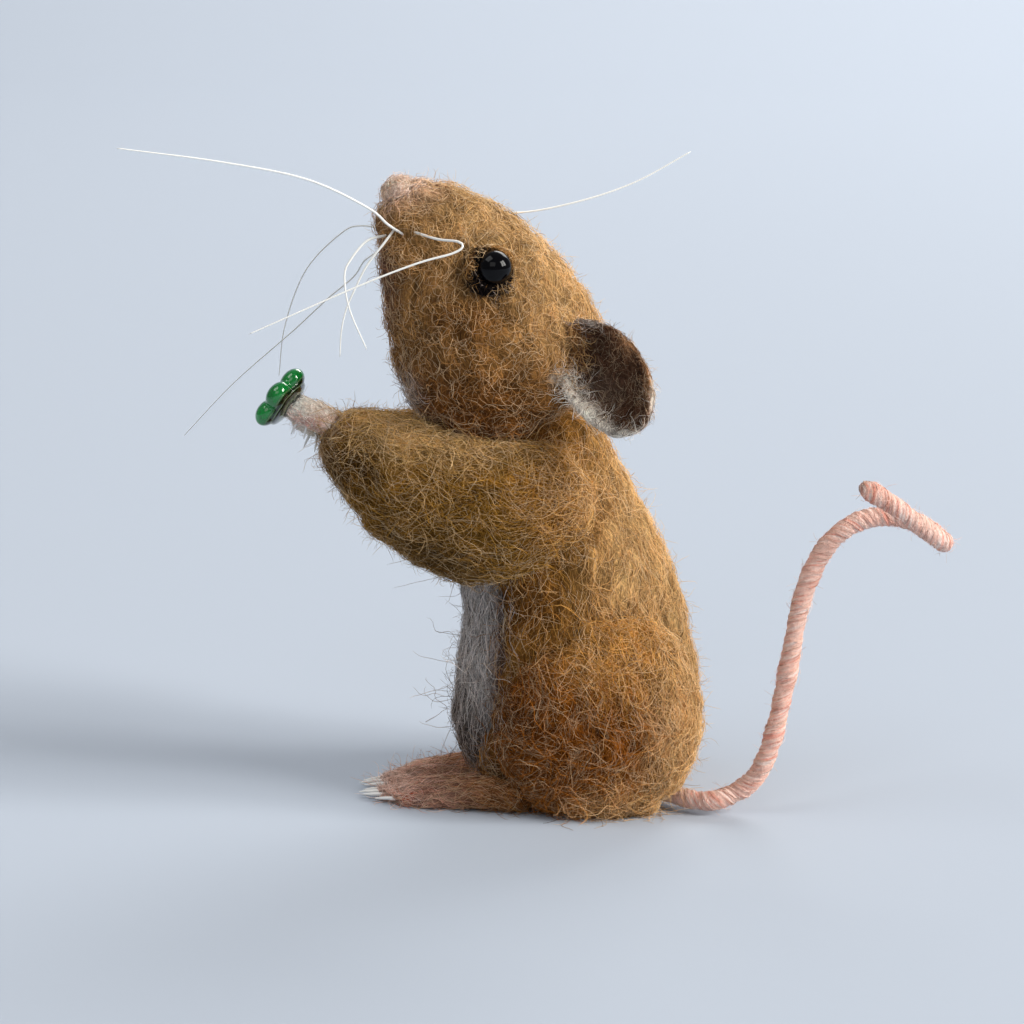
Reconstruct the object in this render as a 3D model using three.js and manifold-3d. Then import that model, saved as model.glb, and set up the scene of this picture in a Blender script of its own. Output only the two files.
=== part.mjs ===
// Needle felted mouse, sitting up and holding a glass flower bead.
// Millimetres, +Z up. The mouse faces -X, and its left side is towards -Y.
// The origin is on the flat that it sits on, under the middle of its body.

import * as THREE from 'three';
import { mergeVertices } from 'three/addons/utils/BufferGeometryUtils.js';
import Module from 'manifold-3d';

const wasm = await Module();
wasm.setup();

// Clearances

const SEAT_GAP = 0.3;      // between two pieces that rest against each other
const FLAT_DEPTH = 0.5;    // how deep the sitting forms are cut flat
const SMOOTHED = 0.03;     // the most that a cut surface may move when its slivers are merged

// How many flat sides round forms have

const SIDES = { large: 22, medium: 16, small: 14, toe: 8, wire: 8, fine: 6 };

// Driving dimensions: torso, from the seat to the neck
// Each section gives its height, its middle, its half depth along X and its half width along Y.

const TORSO = {
  sections: [
    { z: 4.5, x: 4.4, deep: 15.0, wide: 10.6 },
    { z: 10, x: 4.6, deep: 17.3, wide: 12.0 },
    { z: 17, x: 4.6, deep: 16.9, wide: 12.4 },
    { z: 25, x: 4.3, deep: 15.7, wide: 12.0 },
    { z: 33, x: 2.8, deep: 14.2, wide: 11.0 },
    { z: 41, x: 0.9, deep: 12.2, wide: 10.0 },
    { z: 48, x: -0.6, deep: 10.3, wide: 8.8 },
    { z: 53, x: -1.0, deep: 8.8, wide: 7.6 },
  ],
  neckCap: 4.0,
  seatCap: 5.0,
};

const BIB = {
  thick: 2.2,
  foot: 5,
  top: 47,
  middle: { x: -14.5, z: 24 },
  reach: 13.0,
  halfWidth: 11.5,
};

// Driving dimensions: haunches, one on each side of the torso

const HAUNCH = {
  sink: 3.4,
  sections: [
    { z: 4.5, x: 6.4, out: -0.2, deep: 11.6, wide: 5.4 },
    { z: 10, x: 7.2, out: 0.5, deep: 13.8, wide: 6.3 },
    { z: 16, x: 7.7, out: 0.5, deep: 13.9, wide: 6.5 },
    { z: 22, x: 7.7, out: 0.1, deep: 12.0, wide: 5.9 },
    { z: 26, x: 7.4, out: -0.6, deep: 8.8, wide: 4.8 },
  ],
  topCap: 3.4,
  seatCap: 5.0,
};

// Driving dimensions: hind feet
// The toes spread in a fan, and each holds a wire whose bare tip is the claw.

const FOOT = {
  heel: { x: -3.0, out: 6.6 },
  ball: { x: -18.0 },
  ballOut: { left: 3.6, right: 4.6 },
  heelHalfWidth: 4.0,
  ballHalfWidth: 3.7,
  heelHeight: 5.2,
  ballHeight: 3.0,
  stations: [0, 0.35, 0.7, 1],
  heelCap: 1.5,
  toeCap: 2.0,
};

const TOE = {
  count: 4,
  spread: 1.85,
  fan: 5,
  reach: [5.6, 6.3, 5.9, 4.2],
  rootRadius: 1.05,
  tipRadius: 0.75,
  sunk: 3.0,
};

const CLAW = {
  radius: 0.34,
  bare: 2.3,
  held: 3.0,
};

// Driving dimensions: head, from the neck to the tip of the snout
// The head is modelled facing straight ahead, and then turned on the neck.

const HEAD = {
  turn: 14,
  sections: [
    { x: -3.7, z: 60.0, deep: 13.7, wide: 11.6 },
    { x: -7.0, z: 65.7, deep: 14.2, wide: 12.3 },
    { x: -10.1, z: 72.0, deep: 12.8, wide: 11.0 },
    { x: -13.8, z: 78.0, deep: 10.5, wide: 8.6 },
    { x: -17.3, z: 82.5, deep: 7.6, wide: 6.2 },
    { x: -20.0, z: 85.2, deep: 5.0, wide: 4.4 },
  ],
  neckCap: 5.5,
  snoutCap: 2.6,
};

const NOSE = { long: 2.3, wide: 2.6, high: 2.0, forward: 1.7, lift: 1.3 };
const EYE = { radius: 2.4, along: 2.72, tilt: 17, proud: 0.5 };
const EYE_SOCKET = { radius: 3.9, thick: 2.1, down: 0.7 };
const EYE_WIRE = { radius: 0.35, inBead: 1.2 };
const EAR = {
  along: 0.5,
  tilt: 24,
  offset: { left: [4.6, 4.5, -2.1], right: [3.0, 4.5, -4.0] },
  opening: [-0.557, 0.788, 0.25],
  halfWidth: 5.8,
  halfHeight: 8.9,
  roll: 60,
  cup: 3.0,
  thick: 1.5,
  stations: [0, 0.45, 0.8],
  rim: [[0.98, 0.9], [1, 0.3], [0.96, 0.16]],
};

// Driving dimensions: whiskers
// Each root is a place on the snout: its section number, its tilt above the side, and its side.
// Each route is a list of steps away from the root, out to the tip.

const WHISKER = { radius: 0.25, socket: 2.2, mouth: 0.9 };
const WHISKERS = [
  {
    name: 'left_whisker_1', along: 4.8, tilt: -30, side: -1,
    route: [[-1.8, -0.7, 1.3], [-4.6, -1.6, 3.8], [-12.7, -3.9, 8.0], [-23.9, -7.0, 10.8],
      [-37.4, -10.8, 13.2]],
  },
  {
    name: 'left_whisker_2', along: 5, tilt: -40, side: -1,
    route: [[-1.3, -1.0, -1.6], [-3.6, -1.7, -4.5], [-5.1, -2.2, -7.4], [-6.4, -2.8, -10.3],
      [-7.1, -3.5, -13.3], [-7.3, -4.3, -16.7]],
  },
  {
    name: 'left_whisker_3', along: 5, tilt: -60, side: -1,
    route: [[-2.6, -1.2, -0.6], [-4.8, -2.5, -3.0], [-5.6, -3.4, -5.1], [-4.9, -5.1, -9.3],
      [-2.5, -7.3, -14.5]],
  },
  {
    name: 'left_whisker_4', along: 4.45, tilt: -12, side: -1,
    route: [[2.9, -1.7, -0.6], [5.6, -3.0, -0.7], [6.3, -3.5, -1.3], [4.9, -3.8, -2.2],
      [0.0, -4.4, -3.5], [-7.8, -6.0, -6.3], [-22.4, -9.5, -12.2]],
  },
  {
    name: 'right_whisker_1', along: 4.7, tilt: -40, side: 1,
    route: [[-3.3, 3.0, 0.2], [-6.3, 4.5, -1.0], [-11.5, 6.8, -6.7], [-14.7, 9.4, -15.1],
      [-15.8, 11.6, -22.9]],
  },
  {
    name: 'right_whisker_2', along: 4.3, tilt: -55, side: 1,
    route: [[-2.8, 1.6, -2.0], [-4.6, 5.2, -5.0], [-8.3, 7.0, -8.4], [-13.2, 9.2, -13.3],
      [-22.2, 12.9, -21.8], [-29.6, 16.2, -30.1]],
  },
  {
    name: 'right_whisker_3', along: 4.3, tilt: 10, side: 1,
    route: [[4.5, 4.6, -0.4], [13.5, 7.2, -1.6], [21.9, 9.0, -0.5], [30.6, 11.4, 2.0],
      [38.8, 13.8, 6.1]],
  },
];

// Driving dimensions: arms, from the shoulder to the wrist

const SHOULDER = { x: -3.5, z: 46.0 };
const ARM = {
  swing: 20,
  tuck: 0.3,
  sections: [
    { x: 1.5, z: 45.6, out: 0.4, deep: 7.6, wide: 3.8 },
    { x: -4, z: 44.4, out: 0.7, deep: 10.0, wide: 4.8 },
    { x: -9, z: 44.4, out: 0.6, deep: 10.8, wide: 5.3 },
    { x: -14.5, z: 45.9, out: -0.2, deep: 10.2, wide: 5.2 },
    { x: -20.2, z: 48.4, out: -1.6, deep: 8.4, wide: 4.8 },
    { x: -25, z: 51.3, out: -3.0, deep: 6.0, wide: 4.2 },
    { x: -28.2, z: 53.3, out: -3.9, deep: 4.3, wide: 3.6 },
  ],
  shoulderCap: 4.0,
  wristCap: 2.0,
  rightDrop: 2.6,
};

const PAW = {
  radius: 1.85,
  sunk: 1.2,
  cap: 0.7,
  lift: 0.35,
  rightHold: [0.3, 3.6, -1.6],
  rightShort: 0.1,
};
const PAW_CLAW = {
  count: 3,
  radius: 0.3,
  bare: 2.0,
  held: 0.9,
  fan: 0.95,
  along: 0.62,
  aim: [-0.25, 0, -1],
  splay: 0.25,
};
const ARM_WIRE = { radius: 0.6, steps: 44, bend: 2.2, stations: [2.4, 4], wrist: 5.2, rise: 0.4, inPaw: 2.6 };

// Driving dimensions: flower bead and the pin that holds it

const BEAD = {
  middle: { x: -36.7, y: -3.3, z: 58.4 },
  lean: 36,
  turn: 15,
  petals: 5,
  radius: 4.7,
  notch: 0.8,
  thick: 3.4,
  bevel: 0.96,
  dish: 0.9,
  dishRadius: 2.25,
  bore: 0.7,
  stepsPerPetal: 6,
};
const BEAD_PIN = { radius: 0.4, headRadius: 1.1, headThick: 0.45, inPaw: 1.2 };

// Driving dimensions: tail
// The route is chosen by hand, as steps from the root, in the torso's rump.

const TAIL = {
  radius: 1.4,
  wireRadius: 0.55,
  root: { x: 13.6, y: -3.4, z: 2.4 },
  swing: 18,
  room: { length: 13, spare: 7 },
  steps: 46,
  wireShort: 0.5,
  route: [
    [0, 0, 0], [3.4, -2.6, -0.2], [6.6, -5.2, -0.5], [10.0, -6.5, -0.4], [13.2, -5.9, 0.6],
    [15.8, -6.0, 2.7], [17.5, -6.5, 6.2], [18.7, -6.6, 10.4], [19.6, -6.6, 15.0],
    [20.6, -6.6, 20.6], [21.5, -6.6, 26.4], [23.0, -6.4, 31.8], [25.4, -5.6, 36.2],
    [28.6, -4.6, 38.9], [32.0, -4.0, 40.0], [35.6, -3.9, 40.0], [39.0, -4.8, 38.9],
    [41.4, -7.0, 37.3], [40.6, -9.2, 38.2], [37.6, -10.6, 40.6], [34.4, -11.6, 43.2],
    [29.4, -12.6, 46.6],
  ],
};

// Driving dimensions: neck and leg wires

const NECK_WIRE = { radius: 0.6, x: 1.6, from: 37, to: 66 };
const LEG_WIRE = { radius: 0.5, z: 2.3, from: 3.5, to: -13 };

// Finishes

const FINISH = {
  brownWool: { color: '#8a6232', roughness: 0.97, metalness: 0 },
  headWool: { color: '#8c6a43', roughness: 0.97, metalness: 0 },
  armWool: { color: '#7b5e31', roughness: 0.97, metalness: 0 },
  paleWool: { color: '#99948f', roughness: 0.97, metalness: 0 },
  darkWool: { color: '#2a1d15', roughness: 0.97, metalness: 0 },
  earWool: { color: '#59432f', roughness: 0.97, metalness: 0 },
  pinkWool: { color: '#d9a794', roughness: 0.95, metalness: 0 },
  footWool: { color: '#a88270', roughness: 0.96, metalness: 0 },
  noseWool: { color: '#c3a093', roughness: 0.95, metalness: 0 },
  clawWhite: { color: '#e9e9e6', roughness: 0.4, metalness: 0.1 },
  whiskerWhite: { color: '#f2f2ee', roughness: 0.35, metalness: 0 },
  blackGlass: { color: '#07070a', roughness: 0.06, metalness: 0 },
  greenGlass: { color: '#0b7a3a', roughness: 0.08, metalness: 0 },
  steelWire: { color: '#8d9094', roughness: 0.4, metalness: 0.9 },
};

// Solids

const UP = new THREE.Vector3(0, 0, 1);
const SIDEWAYS = new THREE.Vector3(0, 1, 0);

const vector = (x, y, z) => new THREE.Vector3(x, y, z);
const radians = THREE.MathUtils.degToRad;

function solidOf(geometry) {
  const bare = geometry.clone();
  bare.deleteAttribute('normal');
  bare.deleteAttribute('uv');
  const merged = mergeVertices(bare, 1e-5);
  return new wasm.Manifold(new wasm.Mesh({
    numProp: 3,
    vertProperties: new Float32Array(merged.attributes.position.array),
    triVerts: new Uint32Array(merged.index.array),
  }));
}

function meshOf(name, solid, finish) {
  const cut = solid.simplify(SMOOTHED).getMesh();
  const geometry = new THREE.BufferGeometry();
  geometry.setAttribute('position', new THREE.BufferAttribute(new Float32Array(cut.vertProperties), 3));
  geometry.setIndex(new THREE.BufferAttribute(new Uint32Array(cut.triVerts), 1));
  geometry.computeVertexNormals();
  const mesh = new THREE.Mesh(geometry, new THREE.MeshStandardMaterial(FINISH[finish]));
  mesh.name = name;
  return mesh;
}

function closedGeometry(points, triangles) {
  const geometry = new THREE.BufferGeometry();
  geometry.setAttribute('position', new THREE.Float32BufferAttribute(points.flatMap((p) => p.toArray()), 3));
  geometry.setIndex(triangles);
  return geometry;
}

function aimed(geometry, axis, place) {
  const turn = new THREE.Quaternion().setFromUnitVectors(SIDEWAYS, axis.clone().normalize());
  return geometry.applyQuaternion(turn).translate(place.x, place.y, place.z);
}

function rod(from, to, radius, sides) {
  const axis = to.clone().sub(from);
  const geometry = new THREE.CylinderGeometry(radius, radius, axis.length(), sides);
  return solidOf(aimed(geometry, axis, from.clone().lerp(to, 0.5)));
}

function ellipsoid(place, axis, across, along, sides = SIDES.medium) {
  const geometry = new THREE.SphereGeometry(1, sides, Math.ceil(sides * 0.6));
  geometry.scale(across, along, across);
  return solidOf(aimed(geometry, axis, place));
}

function polygon(radius, sides) {
  const shape = new THREE.Shape();
  for (let side = 0; side < sides; side += 1) {
    const angle = (2 * Math.PI * side) / sides;
    const point = [radius * Math.cos(angle), radius * Math.sin(angle)];
    if (side === 0) shape.moveTo(...point);
    else shape.lineTo(...point);
  }
  shape.closePath();
  return shape;
}

function tube(points, radius, sides, steps) {
  const extrudePath = new THREE.CatmullRomCurve3(points);
  return solidOf(new THREE.ExtrudeGeometry(polygon(radius, sides), { steps, extrudePath }));
}

function under(height) {
  const size = 200;
  const slab = new THREE.BoxGeometry(size, size, size);
  return solidOf(slab.translate(0, 0, height - size / 2));
}

// A felted form: elliptical sections strung on a smooth line, with a rounded cap at each end.

class Form {
  constructor(sections, capStart, capEnd, sides = SIDES.large, stepsPerSection = 2, capRings = 3) {
    this.capStart = capStart;
    this.capEnd = capEnd;
    this.sides = sides;
    this.stepsPerSection = stepsPerSection;
    this.capRings = capRings;
    this.last = sections.length - 1;
    this.line = new THREE.CatmullRomCurve3(sections.map((s) => s.at));
    this.radii = new THREE.CatmullRomCurve3(sections.map((s) => vector(s.wide, s.deep, 0)));
  }

  frame(along) {
    const share = THREE.MathUtils.clamp(along / this.last, 0, 1);
    const at = this.line.getPoint(share);
    const forward = this.line.getTangent(share);
    const side = SIDEWAYS.clone().addScaledVector(forward, -forward.dot(SIDEWAYS)).normalize();
    const front = forward.clone().cross(side);
    const size = this.radii.getPoint(share);
    return { at, forward, side, front, wide: size.x, deep: size.y };
  }

  // A point of the surface: angle 0 is towards +Y, and 90 degrees is towards the front.
  surface(along, angle, grow = 0) {
    const { at, side, front, wide, deep } = this.frame(along);
    return at
      .addScaledVector(side, (wide + grow) * Math.cos(angle))
      .addScaledVector(front, (deep + grow) * Math.sin(angle));
  }

  // A place on one flank, tilted towards the back of the form, with the way out of the form there.
  flank(along, tilt, sideSign) {
    const angle = sideSign < 0 ? Math.PI + radians(tilt) : -radians(tilt);
    const at = this.surface(along, angle);
    const out = this.surface(along, angle, 1).sub(at).normalize();
    return { at, out };
  }

  rings(grow) {
    const rings = [];
    const ringAt = (along, shrink, shift) => {
      const { at, forward, side, front, wide, deep } = this.frame(along);
      const middle = at.addScaledVector(forward, shift);
      const ring = [];
      for (let step = 0; step < this.sides; step += 1) {
        const angle = (2 * Math.PI * step) / this.sides;
        ring.push(middle.clone()
          .addScaledVector(side, (wide + grow) * shrink * Math.cos(angle))
          .addScaledVector(front, (deep + grow) * shrink * Math.sin(angle)));
      }
      rings.push(ring);
    };
    const quarter = (ring) => (Math.PI / 2) * (ring / (this.capRings + 1));
    for (let ring = this.capRings; ring > 0; ring -= 1) {
      ringAt(0, Math.cos(quarter(ring)), -(this.capStart + grow) * Math.sin(quarter(ring)));
    }
    const steps = this.last * this.stepsPerSection;
    for (let step = 0; step <= steps; step += 1) ringAt(step / this.stepsPerSection, 1, 0);
    for (let ring = 1; ring <= this.capRings; ring += 1) {
      ringAt(this.last, Math.cos(quarter(ring)), (this.capEnd + grow) * Math.sin(quarter(ring)));
    }
    return rings;
  }

  solid(grow = 0) {
    const rings = this.rings(grow);
    const points = rings.flat();
    const first = this.frame(0);
    const end = this.frame(this.last);
    const tail = points.push(first.at.addScaledVector(first.forward, -(this.capStart + grow))) - 1;
    const tip = points.push(end.at.addScaledVector(end.forward, this.capEnd + grow)) - 1;
    const triangles = [];
    const index = (ring, step) => ring * this.sides + (step % this.sides);
    for (let step = 0; step < this.sides; step += 1) {
      triangles.push(tail, index(0, step + 1), index(0, step));
      for (let ring = 0; ring < rings.length - 1; ring += 1) {
        const [low, lowNext] = [index(ring, step), index(ring, step + 1)];
        const [high, highNext] = [index(ring + 1, step), index(ring + 1, step + 1)];
        triangles.push(low, lowNext, high, lowNext, highNext, high);
      }
      triangles.push(tip, index(rings.length - 1, step), index(rings.length - 1, step + 1));
    }
    return solidOf(closedGeometry(points, triangles));
  }
}

function swept(solid, pivot, axis, angles) {
  const parts = angles.map((angle) => {
    const turn = new THREE.Matrix4().makeRotationAxis(axis, radians(angle));
    const place = new THREE.Matrix4().makeTranslation(pivot.x, pivot.y, pivot.z);
    const back = new THREE.Matrix4().makeTranslation(-pivot.x, -pivot.y, -pivot.z);
    return solid.transform(place.multiply(turn).multiply(back).elements);
  });
  return wasm.Manifold.union(parts);
}

// Torso and belly bib

const torsoForm = new Form(
  TORSO.sections.map((s) => ({ at: vector(s.x, 0, s.z), wide: s.wide, deep: s.deep })),
  TORSO.seatCap,
  TORSO.neckCap,
);

function torsoHalfWidth(height) {
  const found = TORSO.sections.findIndex((s) => s.z >= height);
  const above = Math.max(found, 1);
  const low = TORSO.sections[above - 1];
  const high = TORSO.sections[above];
  return THREE.MathUtils.mapLinear(height, low.z, high.z, low.wide, high.wide);
}

function bibZone(grow) {
  const halfHeight = (BIB.top - BIB.foot) / 2;
  const zone = new THREE.SphereGeometry(1, 20, 14);
  zone.scale(BIB.reach + grow, BIB.halfWidth + grow, halfHeight + grow);
  return solidOf(zone.translate(BIB.middle.x, 0, BIB.middle.z));
}

function bibLayer(grow) {
  return bibZone(grow).subtract(torsoForm.solid(-BIB.thick - grow));
}

// Haunches

function haunchForm(sign) {
  const middle = torsoHalfWidth(HAUNCH.sections[2].z) - HAUNCH.sink;
  return new Form(
    HAUNCH.sections.map((s) => {
      const at = vector(s.x, sign * (middle + s.out), s.z);
      return { at, wide: s.wide, deep: s.deep };
    }),
    HAUNCH.seatCap,
    HAUNCH.topCap,
    SIDES.medium,
  );
}

// Feet, toes and the toe wires

function footForm(sign) {
  const ballOut = sign < 0 ? FOOT.ballOut.left : FOOT.ballOut.right;
  const height = (share) => THREE.MathUtils.lerp(FOOT.heelHeight, FOOT.ballHeight, share);
  const section = (share) => ({
    at: vector(
      THREE.MathUtils.lerp(FOOT.heel.x, FOOT.ball.x, share),
      sign * THREE.MathUtils.lerp(FOOT.heel.out, ballOut, share),
      height(share) / 2 - FLAT_DEPTH / 2,
    ),
    wide: THREE.MathUtils.lerp(FOOT.heelHalfWidth, FOOT.ballHalfWidth, share),
    deep: height(share) / 2 + FLAT_DEPTH / 2,
  });
  return new Form(FOOT.stations.map(section), FOOT.heelCap, FOOT.toeCap, SIDES.small, 1, 2);
}

function toeLines(sign) {
  const foot = footForm(sign);
  const ball = foot.frame(foot.last);
  return TOE.reach.map((reach, toe) => {
    const place = toe - (TOE.count - 1) / 2;
    const out = vector(0, sign * place * TOE.spread, 0);
    const start = ball.at.clone().add(out).setZ(TOE.rootRadius);
    const turn = radians(-sign * place * TOE.fan);
    const way = ball.forward.clone().setZ(0).normalize().applyAxisAngle(UP, -turn);
    const tip = start.clone().addScaledVector(way, reach).setZ(TOE.tipRadius);
    const back = start.clone().addScaledVector(way, -TOE.sunk);
    return { back, tip, way: tip.clone().sub(start).normalize() };
  });
}

function toeSolid({ back, tip, way }) {
  const middle = back.clone().lerp(tip, 0.6);
  const toe = new Form([
    { at: back, wide: TOE.rootRadius, deep: TOE.rootRadius },
    { at: middle, wide: TOE.rootRadius, deep: TOE.rootRadius },
    { at: tip.clone().addScaledVector(way, -TOE.tipRadius), wide: TOE.tipRadius, deep: TOE.tipRadius },
  ], TOE.rootRadius / 2, TOE.tipRadius, SIDES.toe, 1, 1);
  return toe.solid();
}

function toeWire({ tip, way }, grow) {
  const inner = tip.clone().addScaledVector(way, -CLAW.held - grow);
  const outer = tip.clone().addScaledVector(way, CLAW.bare + grow);
  return rod(inner, outer, CLAW.radius + grow, SIDES.wire);
}

// Head

const headTurn = new THREE.Matrix4().makeRotationZ(radians(HEAD.turn));
const onHead = (point) => point.applyMatrix4(headTurn);

const headForm = new Form(
  HEAD.sections.map((s) => ({ at: vector(s.x, 0, s.z), wide: s.wide, deep: s.deep })),
  HEAD.neckCap,
  HEAD.snoutCap,
);

function headSolid(grow = 0) {
  return headForm.solid(grow).transform(headTurn.elements);
}

function headFlank(along, tilt, sign) {
  const { at, out } = headForm.flank(along, tilt, sign);
  return { at: onHead(at), out: out.transformDirection(headTurn) };
}

// Eyes: two beads on one wire, each in a surround of dark wool

function eyePlace(sign) {
  const { at, out } = headFlank(EYE.along, EYE.tilt, sign);
  return { at: at.addScaledVector(out, EYE.proud), out };
}

function eyeBead(sign, grow = 0) {
  const { at, out } = eyePlace(sign);
  return ellipsoid(at, out, EYE.radius + grow, EYE.radius + grow, SIDES.small);
}

function eyeSocket(sign) {
  const { at, out } = eyePlace(sign);
  const low = at.clone().setZ(at.z - EYE_SOCKET.down).addScaledVector(out, -EYE.proud);
  return ellipsoid(low, out, EYE_SOCKET.radius, EYE_SOCKET.thick, SIDES.small);
}

function eyeWire(grow = 0) {
  const ends = [-1, 1].map((sign) => eyePlace(sign).at);
  const way = ends[1].clone().sub(ends[0]).normalize();
  const reach = EYE.radius - EYE_WIRE.inBead - grow;
  const from = ends[0].addScaledVector(way, reach);
  const to = ends[1].addScaledVector(way, -reach);
  return rod(from, to, EYE_WIRE.radius + grow, SIDES.wire);
}

// Nose pad

function nosePad() {
  const { at, forward, front } = headForm.frame(headForm.last);
  const place = at.addScaledVector(forward, NOSE.forward).addScaledVector(front, -NOSE.lift);
  const pad = new THREE.SphereGeometry(1, SIDES.medium, SIDES.medium / 2);
  pad.scale(NOSE.long, NOSE.wide, NOSE.high);
  return solidOf(pad.translate(place.x, place.y, place.z)).transform(headTurn.elements);
}

// Ears: cupped felted discs, seated on the back of the head

function earSolid(sign) {
  const { cup, thick, stations, rim } = EAR;
  const depth = (share) => -cup * (1 - share * share);
  const outer = stations.map((share) => [share, depth(share) - thick]);
  const inner = stations.map((share) => [share, depth(share)]).reverse();
  const edge = rim.map(([share, down]) => [share, -down * thick]);
  const profile = [...outer, ...edge, ...inner].map(([radius, height]) => new THREE.Vector2(radius, height));
  const bowl = new THREE.LatheGeometry(profile, SIDES.large);
  bowl.scale(EAR.halfWidth, 1, EAR.halfHeight).rotateY(radians(-sign * EAR.roll));
  const root = headForm.flank(EAR.along, EAR.tilt, sign).at;
  const [back, out, up] = sign < 0 ? EAR.offset.left : EAR.offset.right;
  const offset = vector(back, sign * out, up);
  const opening = vector(EAR.opening[0], sign * EAR.opening[1], EAR.opening[2]).normalize();
  const across = offset.clone().addScaledVector(opening, -offset.dot(opening)).normalize();
  const place = new THREE.Matrix4()
    .makeBasis(across, opening, across.clone().cross(opening))
    .setPosition(root.clone().add(offset));
  return solidOf(bowl.applyMatrix4(place)).transform(headTurn.elements);
}

// Whiskers

function whiskerPoints({ along, tilt, side, route }) {
  const { at } = headFlank(along, tilt, side);
  const steps = route.map((step) => at.clone().add(vector(...step)));
  const inward = at.clone().sub(steps[0]).normalize();
  return [at.clone().addScaledVector(inward, WHISKER.socket), at, ...steps];
}

function whisker(spec) {
  const points = whiskerPoints(spec);
  return tube(points, WHISKER.radius, SIDES.fine, 3 * points.length);
}

function whiskerSocket(spec) {
  const [inner, at, outer] = whiskerPoints(spec);
  const way = at.clone().sub(inner).normalize();
  const foot = inner.clone().addScaledVector(way, -SEAT_GAP);
  const mouth = at.clone().lerp(outer, WHISKER.mouth);
  return rod(foot, mouth, WHISKER.radius + SEAT_GAP, SIDES.fine);
}

// Arms, paws and the arm wire

function armForm(sign) {
  const middle = torsoHalfWidth(SHOULDER.z) - ARM.tuck;
  const reach = SHOULDER.x - ARM.sections.at(-1).x;
  const place = (s) => {
    const drop = sign > 0 ? (ARM.rightDrop * Math.max(SHOULDER.x - s.x, 0)) / reach : 0;
    return vector(s.x, sign * (middle + s.out), s.z - drop);
  };
  return new Form(
    ARM.sections.map((s) => ({ at: place(s), wide: s.wide, deep: s.deep })),
    ARM.shoulderCap,
    ARM.wristCap,
    SIDES.medium,
  );
}

const beadAxis = vector(-Math.cos(radians(BEAD.lean)), 0, Math.sin(radians(BEAD.lean)))
  .multiplyScalar(Math.cos(radians(BEAD.turn)))
  .setY(Math.sin(radians(BEAD.turn)));
const beadMiddle = vector(BEAD.middle.x, BEAD.middle.y, BEAD.middle.z);
const beadBack = beadMiddle.clone().addScaledVector(beadAxis, -BEAD.thick / 2);

function pawLine(sign) {
  const arm = armForm(sign);
  const { at, forward } = arm.frame(arm.last);
  const wrist = at.addScaledVector(forward, -PAW.sunk);
  if (sign > 0) {
    const edge = beadBack.clone().add(vector(...PAW.rightHold));
    return { wrist, tip: edge.lerp(wrist, PAW.rightShort) };
  }
  wrist.add(vector(0, 0, arm.frame(arm.last).deep * PAW.lift));
  return { wrist, tip: beadBack.clone().addScaledVector(beadAxis, PAW.radius / 2) };
}

function pawSolid(sign) {
  const { wrist, tip } = pawLine(sign);
  const size = { wide: PAW.radius, deep: PAW.radius };
  const sections = [wrist, wrist.clone().lerp(tip, 0.5), tip].map((at) => ({ at, ...size }));
  return new Form(sections, PAW.cap, PAW.cap, SIDES.small, 2, 2).solid();
}

// The bead turns on its pin, so the paws end at its back.
function beadRoom() {
  const radius = BEAD.radius + SEAT_GAP;
  const room = new THREE.CylinderGeometry(radius, radius, 2 * BEAD.thick, SIDES.large);
  const middle = beadBack.clone().addScaledVector(beadAxis, BEAD.thick - SEAT_GAP);
  return solidOf(aimed(room, beadAxis, middle));
}

function pawClawLines(sign) {
  const { wrist, tip } = pawLine(sign);
  const down = vector(...PAW_CLAW.aim).normalize();
  const way = tip.clone().sub(wrist).normalize();
  const lines = [];
  for (let claw = 0; claw < PAW_CLAW.count; claw += 1) {
    const place = claw - (PAW_CLAW.count - 1) / 2;
    const root = wrist.clone().lerp(tip, PAW_CLAW.along).addScaledVector(way, place * PAW_CLAW.fan);
    const aim = down.clone().addScaledVector(way, place * PAW_CLAW.splay).normalize();
    const from = root.clone().addScaledVector(aim, PAW.radius - PAW_CLAW.held);
    const to = root.clone().addScaledVector(aim, PAW.radius + PAW_CLAW.bare);
    lines.push({ from, to, aim });
  }
  return lines;
}

function pawClaw({ from, to, aim }, grow = 0) {
  const inner = from.clone().addScaledVector(aim, -grow);
  const outer = to.clone().addScaledVector(aim, grow);
  return rod(inner, outer, PAW_CLAW.radius + grow, SIDES.wire);
}

function armWire(grow = 0) {
  const half = (sign) => {
    const arm = armForm(sign);
    const { wrist, tip } = pawLine(sign);
    const shoulderOut = torsoHalfWidth(SHOULDER.z) + ARM_WIRE.bend;
    const pawWay = tip.clone().sub(wrist).normalize();
    return [
      vector(SHOULDER.x, sign * (shoulderOut - 2 * ARM_WIRE.bend), SHOULDER.z),
      vector(SHOULDER.x, sign * (shoulderOut - ARM_WIRE.bend), SHOULDER.z),
      vector(SHOULDER.x - ARM_WIRE.bend / 3, sign * shoulderOut, SHOULDER.z),
      ...ARM_WIRE.stations.map((along) => arm.frame(along).at),
      arm.frame(ARM_WIRE.wrist).at.lerp(wrist, ARM_WIRE.rise),
      wrist,
      wrist.clone().addScaledVector(pawWay, ARM_WIRE.inPaw + grow),
    ];
  };
  return tube([...half(-1).reverse(), ...half(1)], ARM_WIRE.radius + grow, SIDES.fine, ARM_WIRE.steps);
}

// Flower bead and its pin

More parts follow.
